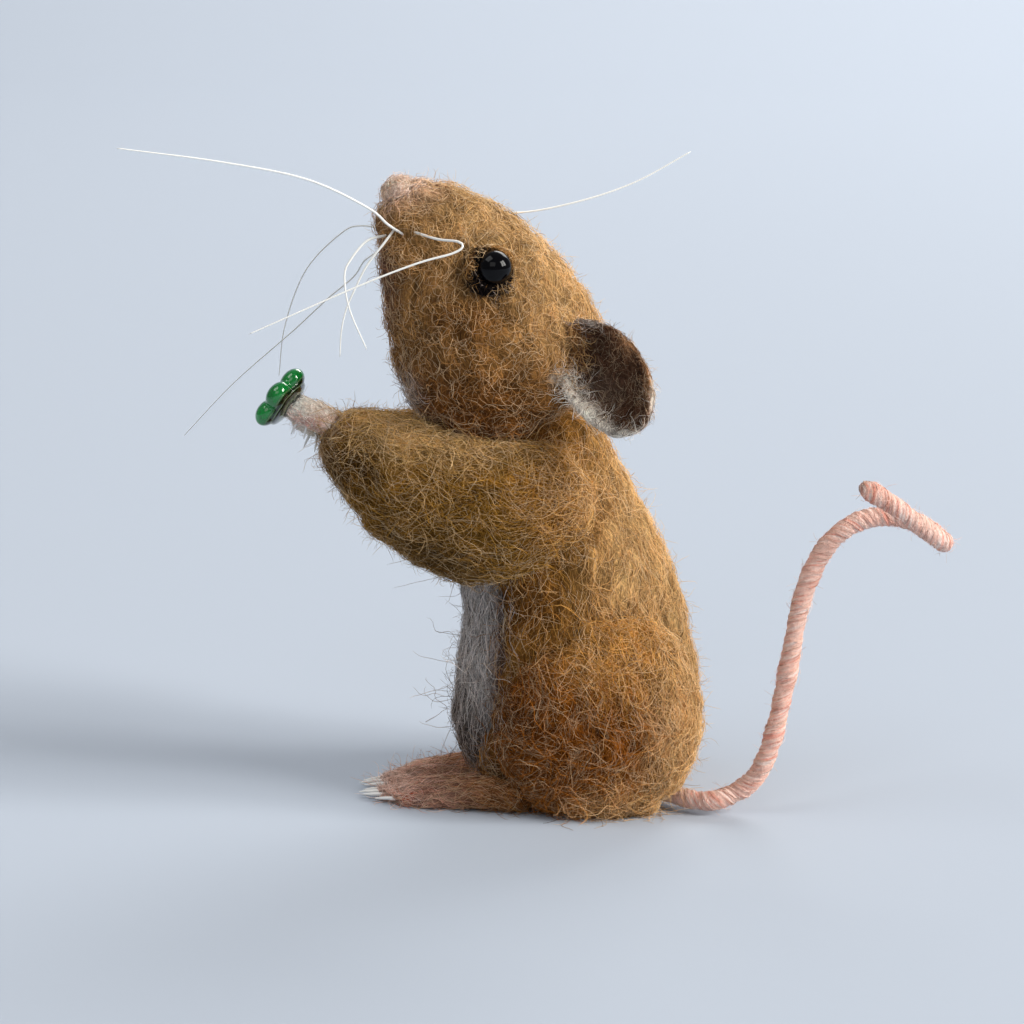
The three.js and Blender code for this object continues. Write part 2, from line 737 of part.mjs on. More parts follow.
function flowerBead() {
  const rim = new THREE.Shape();
  const total = BEAD.petals * BEAD.stepsPerPetal;
  for (let step = 0; step < total; step += 1) {
    const angle = (2 * Math.PI * step) / total;
    const radius = BEAD.radius - BEAD.notch * (1 - Math.abs(Math.sin((angle * BEAD.petals) / 2)));
    const point = [radius * Math.cos(angle), radius * Math.sin(angle)];
    if (step === 0) rim.moveTo(...point);
    else rim.lineTo(...point);
  }
  rim.closePath();
  const blank = new THREE.ExtrudeGeometry(rim, {
    depth: BEAD.thick - 2 * BEAD.bevel,
    bevelEnabled: true,
    bevelThickness: BEAD.bevel,
    bevelSize: BEAD.bevel,
    bevelOffset: -BEAD.bevel,
    bevelSegments: 2,
  });
  blank.translate(0, 0, BEAD.bevel - BEAD.thick / 2).rotateX(-Math.PI / 2);
  const flower = solidOf(aimed(blank, beadAxis, beadMiddle));
  const front = beadMiddle.clone().addScaledVector(beadAxis, BEAD.thick / 2);
  const dish = ellipsoid(front, beadAxis, BEAD.dishRadius, BEAD.dish);
  return flower.subtract(dish).subtract(beadBore());
}

function beadBore() {
  const reach = BEAD.thick;
  const from = beadMiddle.clone().addScaledVector(beadAxis, -reach);
  const to = beadMiddle.clone().addScaledVector(beadAxis, reach);
  return rod(from, to, BEAD.bore, SIDES.wire);
}

function beadPin(grow = 0) {
  const seat = beadMiddle.clone().addScaledVector(beadAxis, BEAD.thick / 2 - BEAD.dish);
  const from = beadBack.clone().addScaledVector(beadAxis, -BEAD_PIN.inPaw - grow);
  const headPlace = seat.clone().addScaledVector(beadAxis, BEAD_PIN.headThick + SEAT_GAP);
  const shank = rod(from, headPlace, BEAD_PIN.radius + grow, SIDES.wire);
  const across = BEAD_PIN.headRadius + grow;
  return shank.add(ellipsoid(headPlace, beadAxis, across, BEAD_PIN.headThick + grow, SIDES.small));
}

// Tail, its wire, and the room that its root needs to swing in the rump

const tailRoot = vector(TAIL.root.x, TAIL.root.y, TAIL.root.z);
const tailPoints = TAIL.route.map((step) => tailRoot.clone().add(vector(...step)));

function tailWrap() {
  const outer = tube(tailPoints, TAIL.radius, SIDES.wire, TAIL.steps);
  return outer.subtract(tailWire(SEAT_GAP));
}

function tailWire(grow = 0) {
  const [first, second] = tailPoints;
  const out = first.clone().sub(second).normalize();
  const start = first.clone().addScaledVector(out, grow);
  const [before, tip] = tailPoints.slice(-2);
  const end = tip.clone().lerp(before, TAIL.wireShort);
  end.addScaledVector(tip.clone().sub(before).normalize(), grow);
  const points = [start, ...tailPoints.slice(1, -1), end];
  return tube(points, TAIL.wireRadius + grow, SIDES.fine, TAIL.steps);
}

function tailRoom() {
  const way = tailPoints[2].clone().sub(tailRoot).setZ(0).normalize();
  const radius = TAIL.radius + SEAT_GAP;
  const flare = Math.tan(radians(TAIL.swing + TAIL.room.spare));
  const sections = [0, 0.5, 1].map((share) => {
    const reach = share * TAIL.room.length;
    const height = THREE.MathUtils.lerp(tailRoot.z, tailPoints[2].z, share);
    const at = tailRoot.clone().addScaledVector(way, reach).setZ(height);
    return { at, wide: radius + reach * flare, deep: radius };
  });
  return new Form(sections, radius, radius, SIDES.small, 1, 2).solid();
}

// Wires of the neck and the legs

function neckWire(grow = 0) {
  const from = vector(NECK_WIRE.x, 0, NECK_WIRE.from - grow);
  const to = vector(NECK_WIRE.x, 0, NECK_WIRE.to + grow);
  return rod(from, to, NECK_WIRE.radius + grow, SIDES.wire);
}

function legWire(sign, grow = 0) {
  const foot = footForm(sign);
  const way = foot.frame(1).forward.clone().setZ(0).normalize();
  const heel = foot.frame(0).at.setZ(LEG_WIRE.z);
  const along = (x) => heel.clone().addScaledVector(way, (heel.x - x) / -way.x);
  return rod(along(LEG_WIRE.from + grow), along(LEG_WIRE.to - grow), LEG_WIRE.radius + grow, SIDES.wire);
}

// Assembly

const mouse = new THREE.Group();
mouse.name = 'felted_mouse';
const add = (name, solid, finish) => mouse.add(meshOf(name, solid, finish));
const cutBy = (solid, ...tools) => tools.reduce((rest, tool) => rest.subtract(tool), solid);

const ground = under(0);
const torsoGrown = torsoForm.solid(SEAT_GAP);
const headGrown = headSolid(SEAT_GAP);
const wireRoom = armWire(SEAT_GAP);
const rumpRoom = tailRoom();
const earSolids = new Map([-1, 1].map((sign) => [sign, cutBy(earSolid(sign), headGrown, torsoGrown)]));
const sideName = (sign) => (sign < 0 ? 'left' : 'right');

add('torso', cutBy(
  torsoForm.solid(),
  bibLayer(SEAT_GAP),
  neckWire(SEAT_GAP),
  wireRoom,
  rumpRoom,
  legWire(-1, SEAT_GAP),
  legWire(1, SEAT_GAP),
  ground,
), 'brownWool');
add('belly_bib', cutBy(torsoForm.solid().intersect(bibLayer(0)), ground), 'paleWool');

add('head', cutBy(
  headSolid(),
  torsoGrown,
  neckWire(SEAT_GAP),
  eyeWire(SEAT_GAP),
  eyeBead(-1, SEAT_GAP),
  eyeBead(1, SEAT_GAP),
  ...WHISKERS.map(whiskerSocket),
), 'headWool');
add('nose_pad', cutBy(nosePad(), headGrown), 'noseWool');
add('neck_wire', neckWire(), 'steelWire');
add('eye_wire', eyeWire(), 'steelWire');

const shoulders = vector(SHOULDER.x, 0, SHOULDER.z);
const torsoSwept = swept(torsoGrown, shoulders, SIDEWAYS, [0, ARM.swing / 2, ARM.swing]);

for (const sign of [-1, 1]) {
  const side = sideName(sign);
  const haunchGrown = haunchForm(sign).solid(SEAT_GAP);

  add(`${side}_haunch`, cutBy(
    haunchForm(sign).solid(),
    torsoGrown,
    rumpRoom,
    legWire(sign, SEAT_GAP),
    ground,
  ), 'brownWool');

  const toes = toeLines(sign);
  const foot = toes.reduce((pad, toe) => pad.add(toeSolid(toe)), footForm(sign).solid());
  add(`${side}_foot`, cutBy(
    foot,
    torsoGrown,
    haunchGrown,
    legWire(sign, SEAT_GAP),
    ...toes.map((toe) => toeWire(toe, SEAT_GAP)),
    ground,
  ), 'footWool');
  toes.forEach((toe, number) => add(`${side}_toe_wire_${number + 1}`, toeWire(toe, 0), 'clawWhite'));
  add(`${side}_leg_wire`, legWire(sign), 'steelWire');

  add(`${side}_eye_surround`, cutBy(eyeSocket(sign), headGrown, eyeBead(sign, SEAT_GAP)), 'darkWool');
  add(`${side}_eye_bead`, cutBy(eyeBead(sign), eyeWire(SEAT_GAP)), 'blackGlass');
  add(`${side}_ear`, earSolids.get(sign), 'earWool');

  const arm = cutBy(armForm(sign).solid(), torsoSwept, headGrown, wireRoom);
  add(`${side}_arm`, arm, 'armWool');

  const claws = pawClawLines(sign);
  add(`${side}_paw`, cutBy(
    pawSolid(sign),
    armForm(sign).solid(SEAT_GAP),
    beadRoom(),
    beadPin(SEAT_GAP),
    wireRoom,
    ...claws.map((claw) => pawClaw(claw, SEAT_GAP)),
  ), 'pinkWool');
  claws.forEach((claw, number) => add(`${side}_paw_claw_${number + 1}`, pawClaw(claw), 'clawWhite'));
}

WHISKERS.forEach((spec) => add(spec.name, whisker(spec), 'whiskerWhite'));

add('arm_wire', armWire(), 'steelWire');
add('flower_bead', flowerBead(), 'greenGlass');
add('bead_pin', beadPin(), 'steelWire');
add('tail_wrap', tailWrap(), 'pinkWool');
add('tail_wire', tailWire(), 'steelWire');

export default mouse;
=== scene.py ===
"""Dresses the needle felted mouse: felt skins, loose fibres, glass, wire and wound wool."""

from __future__ import annotations

import logging
import math
from dataclasses import dataclass, field, replace
from enum import Enum
from typing import Callable, ClassVar, Sequence

import bpy
import numpy as np
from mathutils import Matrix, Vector
from mathutils.bvhtree import BVHTree

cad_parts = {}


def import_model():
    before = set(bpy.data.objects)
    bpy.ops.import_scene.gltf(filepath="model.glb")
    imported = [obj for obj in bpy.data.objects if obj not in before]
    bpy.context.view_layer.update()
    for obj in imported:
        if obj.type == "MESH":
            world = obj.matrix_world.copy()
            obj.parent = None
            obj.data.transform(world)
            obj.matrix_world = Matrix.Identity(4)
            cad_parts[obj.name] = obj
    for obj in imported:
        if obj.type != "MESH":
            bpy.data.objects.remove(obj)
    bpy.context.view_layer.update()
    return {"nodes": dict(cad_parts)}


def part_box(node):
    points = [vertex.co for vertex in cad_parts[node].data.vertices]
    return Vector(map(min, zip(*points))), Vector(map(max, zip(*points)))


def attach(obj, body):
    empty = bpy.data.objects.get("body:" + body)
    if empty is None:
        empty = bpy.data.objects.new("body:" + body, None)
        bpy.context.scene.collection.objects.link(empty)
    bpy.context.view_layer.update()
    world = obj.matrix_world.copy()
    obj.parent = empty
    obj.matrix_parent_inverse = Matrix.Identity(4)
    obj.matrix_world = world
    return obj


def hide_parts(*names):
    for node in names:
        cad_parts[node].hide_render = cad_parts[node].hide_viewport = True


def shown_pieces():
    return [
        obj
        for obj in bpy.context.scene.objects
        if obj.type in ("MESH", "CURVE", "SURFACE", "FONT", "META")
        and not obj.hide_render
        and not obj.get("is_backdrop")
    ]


LOG = logging.getLogger("felted_mouse")
MM = 0.001

Array = np.ndarray
Paint = Callable[[Array], Array]
Flow = Callable[[Array, Array], Array]


def linear(red: int, green: int, blue: int) -> Array:
    """Turns a colour written in screen values from 0 to 255 into linear light."""
    screen = np.array([red, green, blue], float) / 255.0
    return np.where(screen <= 0.04045, screen / 12.92, ((screen + 0.055) / 1.055) ** 2.4)


def opaque(red: int, green: int, blue: int) -> tuple[float, ...]:
    """Turns a colour written in screen values into an opaque one for a shader."""
    return (*linear(red, green, blue), 1.0)


def unit(vectors: Array) -> Array:
    """Scales each row to length one."""
    return vectors / np.maximum(np.linalg.norm(vectors, axis=-1, keepdims=True), 1e-12)


def smooth_step(values: Array) -> Array:
    """Eases values from 0 to 1."""
    held = np.clip(values, 0.0, 1.0)
    return held * held * (3.0 - 2.0 * held)


# How much quicker or slower a wave is than its length says, and how high their sum is
WAVE_PACES = (0.6, 1.5)
WAVE_HEIGHT = 0.8


@dataclass(frozen=True)
class Waves:
    """Smooth noise over space, a sum of slanted sine waves.

    Args:
        seed: which pattern.
        length: the typical distance between two crests, in millimetres.
        count: how many waves are summed.
    """

    seed: int
    length: float
    count: int = 7

    def at(self, points: Array) -> Array:
        """Gives the noise at points in metres, about -1 to 1.

        Args:
            points: places in metres.

        Returns:
            A value for each place, about -1 to 1.
        """
        rng = np.random.default_rng(self.seed)
        ways = unit(rng.normal(size=(self.count, 3)))
        pace = 2.0 * math.pi / (self.length * MM) * rng.uniform(*WAVE_PACES, self.count)
        phases = rng.uniform(0.0, 2.0 * math.pi, self.count)
        waves = np.sin(points @ (ways * pace[:, None]).T + phases)
        return waves.sum(axis=1) / math.sqrt(self.count) * WAVE_HEIGHT


# Colours of the wools, and of the painted light and shade over them


class Shade(Enum):
    """The wools that the mouse is felted from, and the painted light and shade laid over them."""

    HEAD = (180, 134, 80)
    # Painted light: the lit top of the head
    FOREHEAD = (214, 174, 120)
    MUZZLE = (142, 102, 84)
    SNOUT = (222, 182, 148)
    # Painted shade: the cheek's wool darkened low on the head, under it and below the eye
    CHEEK = (138, 84, 30)
    CHEST_GREY = (176, 164, 154)
    # Painted light: the back and the right-hand sides, lit by the window panes
    BACK = (240, 196, 136)
    SHOULDER = (184, 134, 66)
    # Painted light: the lit rump
    RUMP = (236, 192, 132)
    THIGH = (172, 104, 32)
    # Painted light: the lit top of a haunch
    THIGH_PALE = (226, 172, 94)
    # Deep brown wool at the bib's sides and in a haunch's middle, and painted shade in the torso's creases
    # and low at the fronts
    THIGH_DEEP = (112, 62, 16)
    ARM = (166, 122, 50)
    # Painted light: the lit top of an arm
    ARM_TOP = (228, 188, 124)
    # Painted shade: an arm's underside
    ARM_GREY = (124, 94, 54)
    # Painted shade: the arm's front, under the paw
    ARM_DEEP = (112, 78, 32)
    BIB = (208, 202, 198)
    # Painted shade: the bib's front, turned from the light
    BIB_GREY = (140, 130, 122)
    # Painted shadow: the foot of the bib
    BIB_LOW = (82, 66, 53)
    FOOT = (206, 160, 140)
    TOE = (250, 214, 198)
    HEEL = (170, 116, 60)
    EAR_INSIDE = (98, 68, 50)
    EAR_RIM = (204, 156, 112)
    EAR_GREY = (140, 126, 114)
    EAR_WHITE = (255, 248, 236)
    NOSE = (255, 222, 204)
    EYE_DARK = (22, 14, 13)
    PAW = (255, 242, 230)
    CORAL = (222, 118, 94)
    TAIL = (245, 202, 186)
    TAIL_WHITE = (255, 236, 226)
    ORANGE = (212, 96, 58)
    STRAW = (248, 222, 186)
    DUSK = (58, 38, 26)

    @property
    def light(self) -> Array:
        """The colour in linear light."""
        return linear(*self.value)


# How steeply a patch's edge fades
PATCH_EDGE = 1.6


@dataclass(frozen=True)
class Patch:
    """A soft-edged place where another wool, or painted light or shade, shows.

    Args:
        shade: the wool, or the painted light or shade.
        at: its middle, in millimetres.
        reach: its half sizes along X, Y and Z, in millimetres.
        strength: how much of it shows in the middle, 0 to 1.
    """

    shade: Shade
    at: tuple[float, float, float]
    reach: tuple[float, float, float]
    strength: float = 1.0

    def over(self, points: Array, colours: Array) -> Array:
        """Lays the patch over the colours of points in metres."""
        away = (points / MM - np.array(self.at)) / np.array(self.reach)
        share = smooth_step((1.0 - np.linalg.norm(away, axis=1)) * PATCH_EDGE) * self.strength
        return colours + (self.shade.light - colours) * share[:, None]


def painted(base: Shade, *patches: Patch, mottle: float = 0.16, seed: int = 5) -> Paint:
    """Makes a paint: a base wool with patches, and mottled as hand-felted wool is.

    Args:
        base: the wool under all.
        patches: the wools, and the painted light and shade, that show over it, in order.
        mottle: how uneven the colour is.
        seed: which pattern the unevenness has.

    Returns:
        A function that gives colours in linear light at points in metres.
    """
    broad, fine = Waves(seed, 5.0), Waves(seed + 1, 1.7)

    def paint(points: Array) -> Array:
        """Gives the wool's colours.

        Args:
            points: places in metres.

        Returns:
            Colours in linear light.
        """
        colours = np.tile(base.light, (len(points), 1))
        for patch in patches:
            colours = patch.over(points, colours)
        tone = 1.0 + mottle * broad.at(points) + 0.6 * mottle * fine.at(points)
        return np.clip(colours * tone[:, None], 0.0, 1.0)

    return paint


# Ways in which fibres lie


@dataclass(frozen=True)
class Whirl:
    """A place that fibres lie round. Places and sizes are in millimetres, over X and Z.

    Args:
        centre: its middle.
        reach: how far it is felt.
        strength: how strongly, negative to lie the other way round.
    """

    centre: tuple[float, float]
    reach: float
    strength: float = 1.0


# How far the lines wander, against the length over which they do
WANDER = 0.15


@dataclass(frozen=True)
class Lie:
    """The way in which fibres lie, as stream lines over X and Z.

    Args:
        way: the main direction, as parts along X and Z.
        whirls: the places that the lines run round.
        ripple: how far the lines wander.
        wave: the length over which they wander, in millimetres.
        out: how much the fibres also run along Y.
        stretch: how much shorter the felt's pattern counts along the lines than across them.
        seed: which pattern the wandering has.
    """

    way: tuple[float, float]
    whirls: tuple[Whirl, ...] = ()
    ripple: float = 0.5
    wave: float = 12.0
    out: float = 0.0
    stretch: float = 0.2
    seed: int = 1

    def stream(self, points: Array) -> Array:
        """Numbers the stream line through each point, in millimetres.

        Args:
            points: places in metres.

        Returns:
            A number for each place, alike along a line.
        """
        x, z = points[:, 0] / MM, points[:, 2] / MM
        lines = (x * self.way[1] - z * self.way[0]) / math.hypot(*self.way)
        for whirl in self.whirls:
            far = np.hypot(x - whirl.centre[0], z - whirl.centre[1]) / whirl.reach
            lines = lines + whirl.strength * whirl.reach * np.exp(-(far ** 2))
        return lines + WANDER * self.wave * self.ripple * Waves(self.seed, self.wave).at(points)

    def ways(self, points: Array, normals: Array) -> Array:
        """Gives the direction in which fibres lie at each point.

        Args:
            points: places in metres.
            normals: the way out of the skin there.

        Returns:
            A direction for each place.
        """
        step = 0.05 * MM
        here = self.stream(points)
        over_x = self.stream(points + np.array([step, 0.0, 0.0])) - here
        over_z = self.stream(points + np.array([0.0, 0.0, step])) - here
        return unit(np.stack([-over_z, self.out * np.hypot(over_x, over_z), over_x], axis=1))

    def mapped(self, points: Array) -> Array:
        """Gives places, in metres, on a map whose last axis is short and runs along the fibres."""
        along = (points[:, 0] * self.way[0] + points[:, 2] * self.way[1]) / math.hypot(*self.way)
        return np.stack([self.stream(points) * MM, points[:, 1], along * self.stretch], axis=1)


# Higher than any place on the mouse, in millimetres
NO_HEIGHT = 1000.0


@dataclass(frozen=True)
class Coat:
    """One kind of loose fibre on a felt form. Lengths are in millimetres.

    Args:
        count: how many fibres.
        length: the least and the greatest length.
        radius: half the thickness of a fibre.
        joints: the bends in a fibre.
        lift: how far the free end stands off the felt.
        loft: how far over the felt the fibre lies.
        crimp: how far a fibre waves to either side, in radians.
        curl: how much a fibre turns from bend to bend, in radians.
        stray: how far fibres differ from the way they lie, in radians.
        pale: share of bleached fibres.
        dark: share of dark fibres.
        loose: true where the fibres leave the form and wave freely.
        below: the height, in millimetres, over which none of these fibres grow.
        spot: the place round which they grow, in millimetres, or None where they grow everywhere.
        reach: how far from that place they grow, in millimetres.
    """

    count: int
    length: tuple[float, float]
    radius: float = 0.055
    joints: int = 6
    lift: float = 0.5
    loft: float = 0.8
    crimp: float = 0.6
    curl: float = 0.12
    stray: float = 0.3
    pale: float = 0.25
    dark: float = 0.22
    loose: bool = False
    below: float = NO_HEIGHT
    spot: tuple[float, float, float] | None = None
    reach: float = 6.0

    @property
    def everywhere(self) -> bool:
        """True where the fibres grow all over the form."""
        return self.below >= NO_HEIGHT and self.spot is None

    def held(self, roots: Array) -> Array:
        """Tells which of the places, in metres, have these fibres.

        Args:
            roots: places in metres.

        Returns:
            True for each place that has them.
        """
        held = roots[:, 2] < self.below * MM
        if self.spot:
            held &= np.linalg.norm(roots / MM - np.array(self.spot), axis=1) < self.reach
        return held

    def of(self, count: int, **changes: object) -> Coat:
        """Gives a coat of this kind with so many fibres, and with other changes."""
        return replace(self, count=count, **changes)


COMBED = Coat(0, (3.0, 5.8), joints=5, radius=0.042, crimp=0.42, stray=0.26, curl=0.14, loft=0.6, lift=0.2)
CURLY = Coat(0, (4.5, 9.0), joints=6, radius=0.038, crimp=0.5, stray=0.45, curl=0.3, pale=0.6, dark=0.05)
WISPY = Coat(0, (1.8, 4.8), joints=5, radius=0.026, curl=0.7, stray=1.4, loose=True)
TRAILING = Coat(0, (3.0, 8.0), joints=9, radius=0.032, curl=0.5, stray=1.0, lift=0.4, pale=0.4, loose=True)
FUZZ = Coat(
    0, (0.8, 3.2), radius=0.019, joints=4, crimp=0.8, curl=0.8, stray=1.6, lift=0.9, pale=0.6, dark=0.0,
    loose=True,
)


@dataclass(frozen=True)
class Strands:
    """Centre lines of fibres.

    Args:
        points: places in metres, by fibre and joint.
        ups: the way out of the felt there.
        colours: a colour in linear light for each fibre.
        radius: half a fibre's thickness, in metres.
    """

    points: Array
    ups: Array
    colours: Array
    radius: float


def select_only(obj: bpy.types.Object) -> None:
    """Selects one object and makes it active."""
    bpy.ops.object.select_all(action="DESELECT")
    obj.select_set(True)
    bpy.context.view_layer.objects.active = obj


def apply_all(obj: bpy.types.Object) -> None:
    """Applies every modifier of the object, in order."""
    select_only(obj)
    for modifier in list(obj.modifiers):
        bpy.ops.object.modifier_apply(modifier=modifier.name)


def mesh_object(name: str, points: Array, faces: Array) -> bpy.types.Object:
    """Makes an object from points in metres and faces that all have the same number of corners.

    Args:
        name: the piece's name.
        points: one row for each vertex.
        faces: one row of vertex numbers for each face.

    Returns:
        The new object, linked to the scene.
    """
    mesh = bpy.data.meshes.new(name)
    corners = faces.shape[1]
    mesh.vertices.add(len(points))
    mesh.vertices.foreach_set("co", points.astype(np.float32).ravel())
    mesh.loops.add(faces.size)
    mesh.loops.foreach_set("vertex_index", faces.astype(np.int32).ravel())
    mesh.polygons.add(len(faces))
    mesh.polygons.foreach_set("loop_start", np.arange(0, faces.size, corners, dtype=np.int32))
    mesh.polygons.foreach_set("use_smooth", np.ones(len(faces), bool))
    mesh.update(calc_edges=True)
    obj = bpy.data.objects.new(name, mesh)
    bpy.context.scene.collection.objects.link(obj)
    return obj


def set_colours(obj: bpy.types.Object, colours: Array) -> None:
    """Stores a linear colour for each vertex in the attribute that the wool materials read."""
    attribute = obj.data.attributes.new("wool", "FLOAT_COLOR", "POINT")
    rows = np.concatenate([colours, np.ones((len(colours), 1))], axis=1)
    attribute.data.foreach_set("color", rows.astype(np.float32).ravel())


def vertex_places(obj: bpy.types.Object) -> Array:
    """Gives the vertices of an object whose place is in its mesh."""
    places = np.zeros(len(obj.data.vertices) * 3, np.float32)
    obj.data.vertices.foreach_get("co", places)
    return places.reshape(-1, 3).astype(float)


def set_vertex_places(obj: bpy.types.Object, places: Array) -> None:
    """Writes new places, in metres, into the object's mesh."""
    obj.data.vertices.foreach_set("co", places.astype(np.float32).ravel())


# How far over a point a drop to the skin starts, how far under it it may end, and how much it has to face it
DROP_HEIGHTS = (2.2 * MM, 1.0 * MM, 0.4 * MM)
DROP_DEPTH = 2.5 * MM
LEAST_FACING = 0.15


@dataclass(frozen=True)
class Surface:
    """A felt form's skin as arrays, to grow fibres on.

    Args:
        places: its vertices, in metres.
        normals: the way out at each vertex.
        triangles: rows of three vertex numbers.
        tree: the same faces, for finding the nearest of them.
    """

    places: Array
    normals: Array
    triangles: Array
    tree: BVHTree

    @classmethod
    def over(cls, places: Array, normals: Array, triangles: Array) -> Surface:
        """Makes a surface from arrays."""
        return cls(places, normals, triangles, BVHTree.FromPolygons(places.tolist(), triangles.tolist()))

    @classmethod
    def of(cls, obj: bpy.types.Object) -> Surface:
        """Reads a mesh object.

        Args:
            obj: the object.

        Returns:
            Its surface.
        """
        mesh = obj.data
        mesh.calc_loop_triangles()
        normals = np.zeros(len(mesh.vertices) * 3, np.float32)
        mesh.vertices.foreach_get("normal", normals)
        triangles = np.zeros(len(mesh.loop_triangles) * 3, np.int32)
        mesh.loop_triangles.foreach_get("vertices", triangles)
        return cls.over(vertex_places(obj), normals.reshape(-1, 3).astype(float), triangles.reshape(-1, 3))

    @classmethod
    def joined(cls, surfaces: Sequence[Surface]) -> Surface:
        """Joins surfaces, so that fibres can lie across the seams between forms.

        Args:
            surfaces: the skins.

        Returns:
            One surface with the faces of all.
        """
        starts = np.cumsum([0] + [len(surface.places) for surface in surfaces])
        return cls.over(
            np.concatenate([surface.places for surface in surfaces]),
            np.concatenate([surface.normals for surface in surfaces]),
            np.concatenate([surface.triangles + start for surface, start in zip(surfaces, starts)]),
        )

    def scatter(self, count: int, rng: np.random.Generator) -> tuple[Array, Array]:
        """Picks places evenly over the skin, with their normals.

        Args:
            count: how many places.
            rng: random numbers.

        Returns:
            The places, and the way out of the skin there.
        """
        corners = self.places[self.triangles]
        edges = corners[:, 1:] - corners[:, :1]
        areas = np.linalg.norm(np.cross(edges[:, 0], edges[:, 1]), axis=1)
        chosen = rng.choice(len(areas), count, p=areas / areas.sum())
        first, second = rng.random((2, count))
        over = first + second > 1.0
        first[over], second[over] = 1.0 - first[over], 1.0 - second[over]
        shares = np.stack([1.0 - first - second, first, second], axis=1)[:, :, None]
        found = (corners[chosen] * shares).sum(axis=1)
        return found, unit((self.normals[self.triangles[chosen]] * shares).sum(axis=1))

    def nearest(self, points: Array) -> tuple[Array, Array]:
        """Finds the nearest place of the skin to each point, and the face's normal there."""
        hits = [self.tree.find_nearest(point) for point in points.tolist()]
        return np.array([hit[0][:] for hit in hits]), np.array([hit[1][:] for hit in hits])

    def under(self, points: Array, ups: Array) -> tuple[Array, Array]:
        """Drops each point on the outside of the skin, and gives the place and the normal there.

        Args:
            points: places near the skin, in metres.
            ups: the way out of the skin there.

        Returns:
            The nearest places on the skin, and the way out of it there.
        """
        places, normals = [], []
        for point, up in zip(points, ups):
            start, way = Vector(point), Vector(up)
            for reach in DROP_HEIGHTS:
                place, normal, _, _ = self.tree.ray_cast(start + way * reach, -way, reach + DROP_DEPTH)
                if place is not None and normal.dot(way) > LEAST_FACING:
                    break
            else:
                place, normal, _, _ = self.tree.find_nearest(start)
            places.append(place[:])
            normals.append(normal[:])
        return np.array(places), np.array(normals)


def hidden(points: Array, others: Sequence[Surface], spare: float) -> Array:
    """Says which points lie in, or closer than spare to, other forms.

    Args:
        points: places in metres.
        others: the skins that may cover them.
        spare: how deep in a place has to be, in metres.

    Returns:
        True for each place that is covered.
    """
    covered = np.zeros(len(points), bool)
    for other in others:
        low, high = other.places.min(axis=0) - spare, other.places.max(axis=0) + spare
        near = np.flatnonzero(((points > low) & (points < high)).all(axis=1))
        if len(near):
            places, normals = other.nearest(points[near])
            away = points[near] - places
            inside = (away * normals).sum(axis=1) < 0.0
            covered[near] |= inside | (np.linalg.norm(away, axis=1) < spare)
    return covered


def turned(vectors: Array, axes: Array, angles: Array) -> Array:
    """Turns each vector about its own axis."""
    cosines, sines = np.cos(angles)[:, None], np.sin(angles)[:, None]
    along = (vectors * axes).sum(axis=1, keepdims=True)
    return vectors * cosines + np.cross(axes, vectors) * sines + axes * along * (1.0 - cosines)


def flattened(vectors: Array, normals: Array) -> Array:
    """Lays each vector flat on the skin, at length one."""
    return unit(vectors - normals * (vectors * normals).sum(axis=1, keepdims=True) + 1e-9)


# How fibres of one kind differ from each other, and how deep their roots are, in millimetres
BACKWARD_FIBRES = 0.4
CRIMP_PACES = (0.9, 1.6)
CRIMP_SHARES = (0.3, 1.5)
LOFT_SHARES = (0.04, 1.0)
LOFT_POWER = 1.3
LIFT_POWER = 2.0
FREE_LIFT_SHARES = (0.2, 1.4)
ROOT_DEPTH = 0.2
LEAST_HEIGHT = 0.02 * MM
TIP_RISE_POWER = 1.6
UP_MEMORY = 0.5


def grown(
    surface: Surface, roots: Array, normals: Array, coat: Coat, flow: Flow, paint: Paint, seed: int
) -> Strands:
    """Lays fibres over a skin.

    Args:
        surface: the skin that they follow.
        roots: where they start, in metres.
        normals: the way out of the skin there.
        coat: the kind of fibre.
        flow: the way that they lie.
        paint: the colours of the wool.
        seed: of the random numbers.

    Returns:
        The fibres' centre lines and colours.
    """
    rng = np.random.default_rng(seed)
    count = len(roots)
    own = rng.normal(0.0, coat.stray, count)
    sign = np.where(rng.random(count) < BACKWARD_FIBRES, -1.0, 1.0)[:, None]
    steps = rng.uniform(*coat.length, count) * MM / coat.joints
    pace = rng.uniform(*CRIMP_PACES, count)
    phase = rng.uniform(0.0, 2.0 * math.pi, count)
    crimp = coat.crimp * rng.uniform(*CRIMP_SHARES, count)
    drift = coat.curl * rng.normal(0.0, 1.0, count)
    height = rng.uniform(*LOFT_SHARES, count) ** LOFT_POWER * coat.loft * MM
    rise = coat.lift * rng.uniform(0.0, 1.0, count) ** LIFT_POWER * MM
    points, ups = [roots - normals * ROOT_DEPTH * MM], [normals]
    here, up = roots, normals
    spin = unit(rng.normal(size=(count, 3)))
    outward = normals * coat.lift * rng.uniform(*FREE_LIFT_SHARES, count)[:, None]
    free = unit(outward + turned(flattened(flow(roots, normals), normals), normals, own) * sign)
    for joint in range(1, coat.joints + 1):
        if coat.loose:
            free = turned(free, spin, drift + crimp * np.cos(pace * joint + phase))
            here = here + free * steps[:, None]
            points.append(here)
            ups.append(up)
            continue
        angles = own + crimp * np.sin(pace * joint + phase) + drift * joint
        ways = turned(flattened(flow(here, up) * sign, up), up, angles)
        places, facing = surface.under(here + ways * steps[:, None], up)
        share = joint / coat.joints
        off = height * min(1.0, 2.0 * share) + rise * share ** TIP_RISE_POWER
        up = unit(UP_MEMORY * up + facing)
        here = places + up * np.maximum(off, LEAST_HEIGHT)[:, None]
        points.append(here)
        ups.append(up)
    colours = fibre_colours(roots, coat, paint, rng)
    return Strands(np.stack(points, axis=1), np.stack(ups, axis=1), colours, coat.radius * MM)


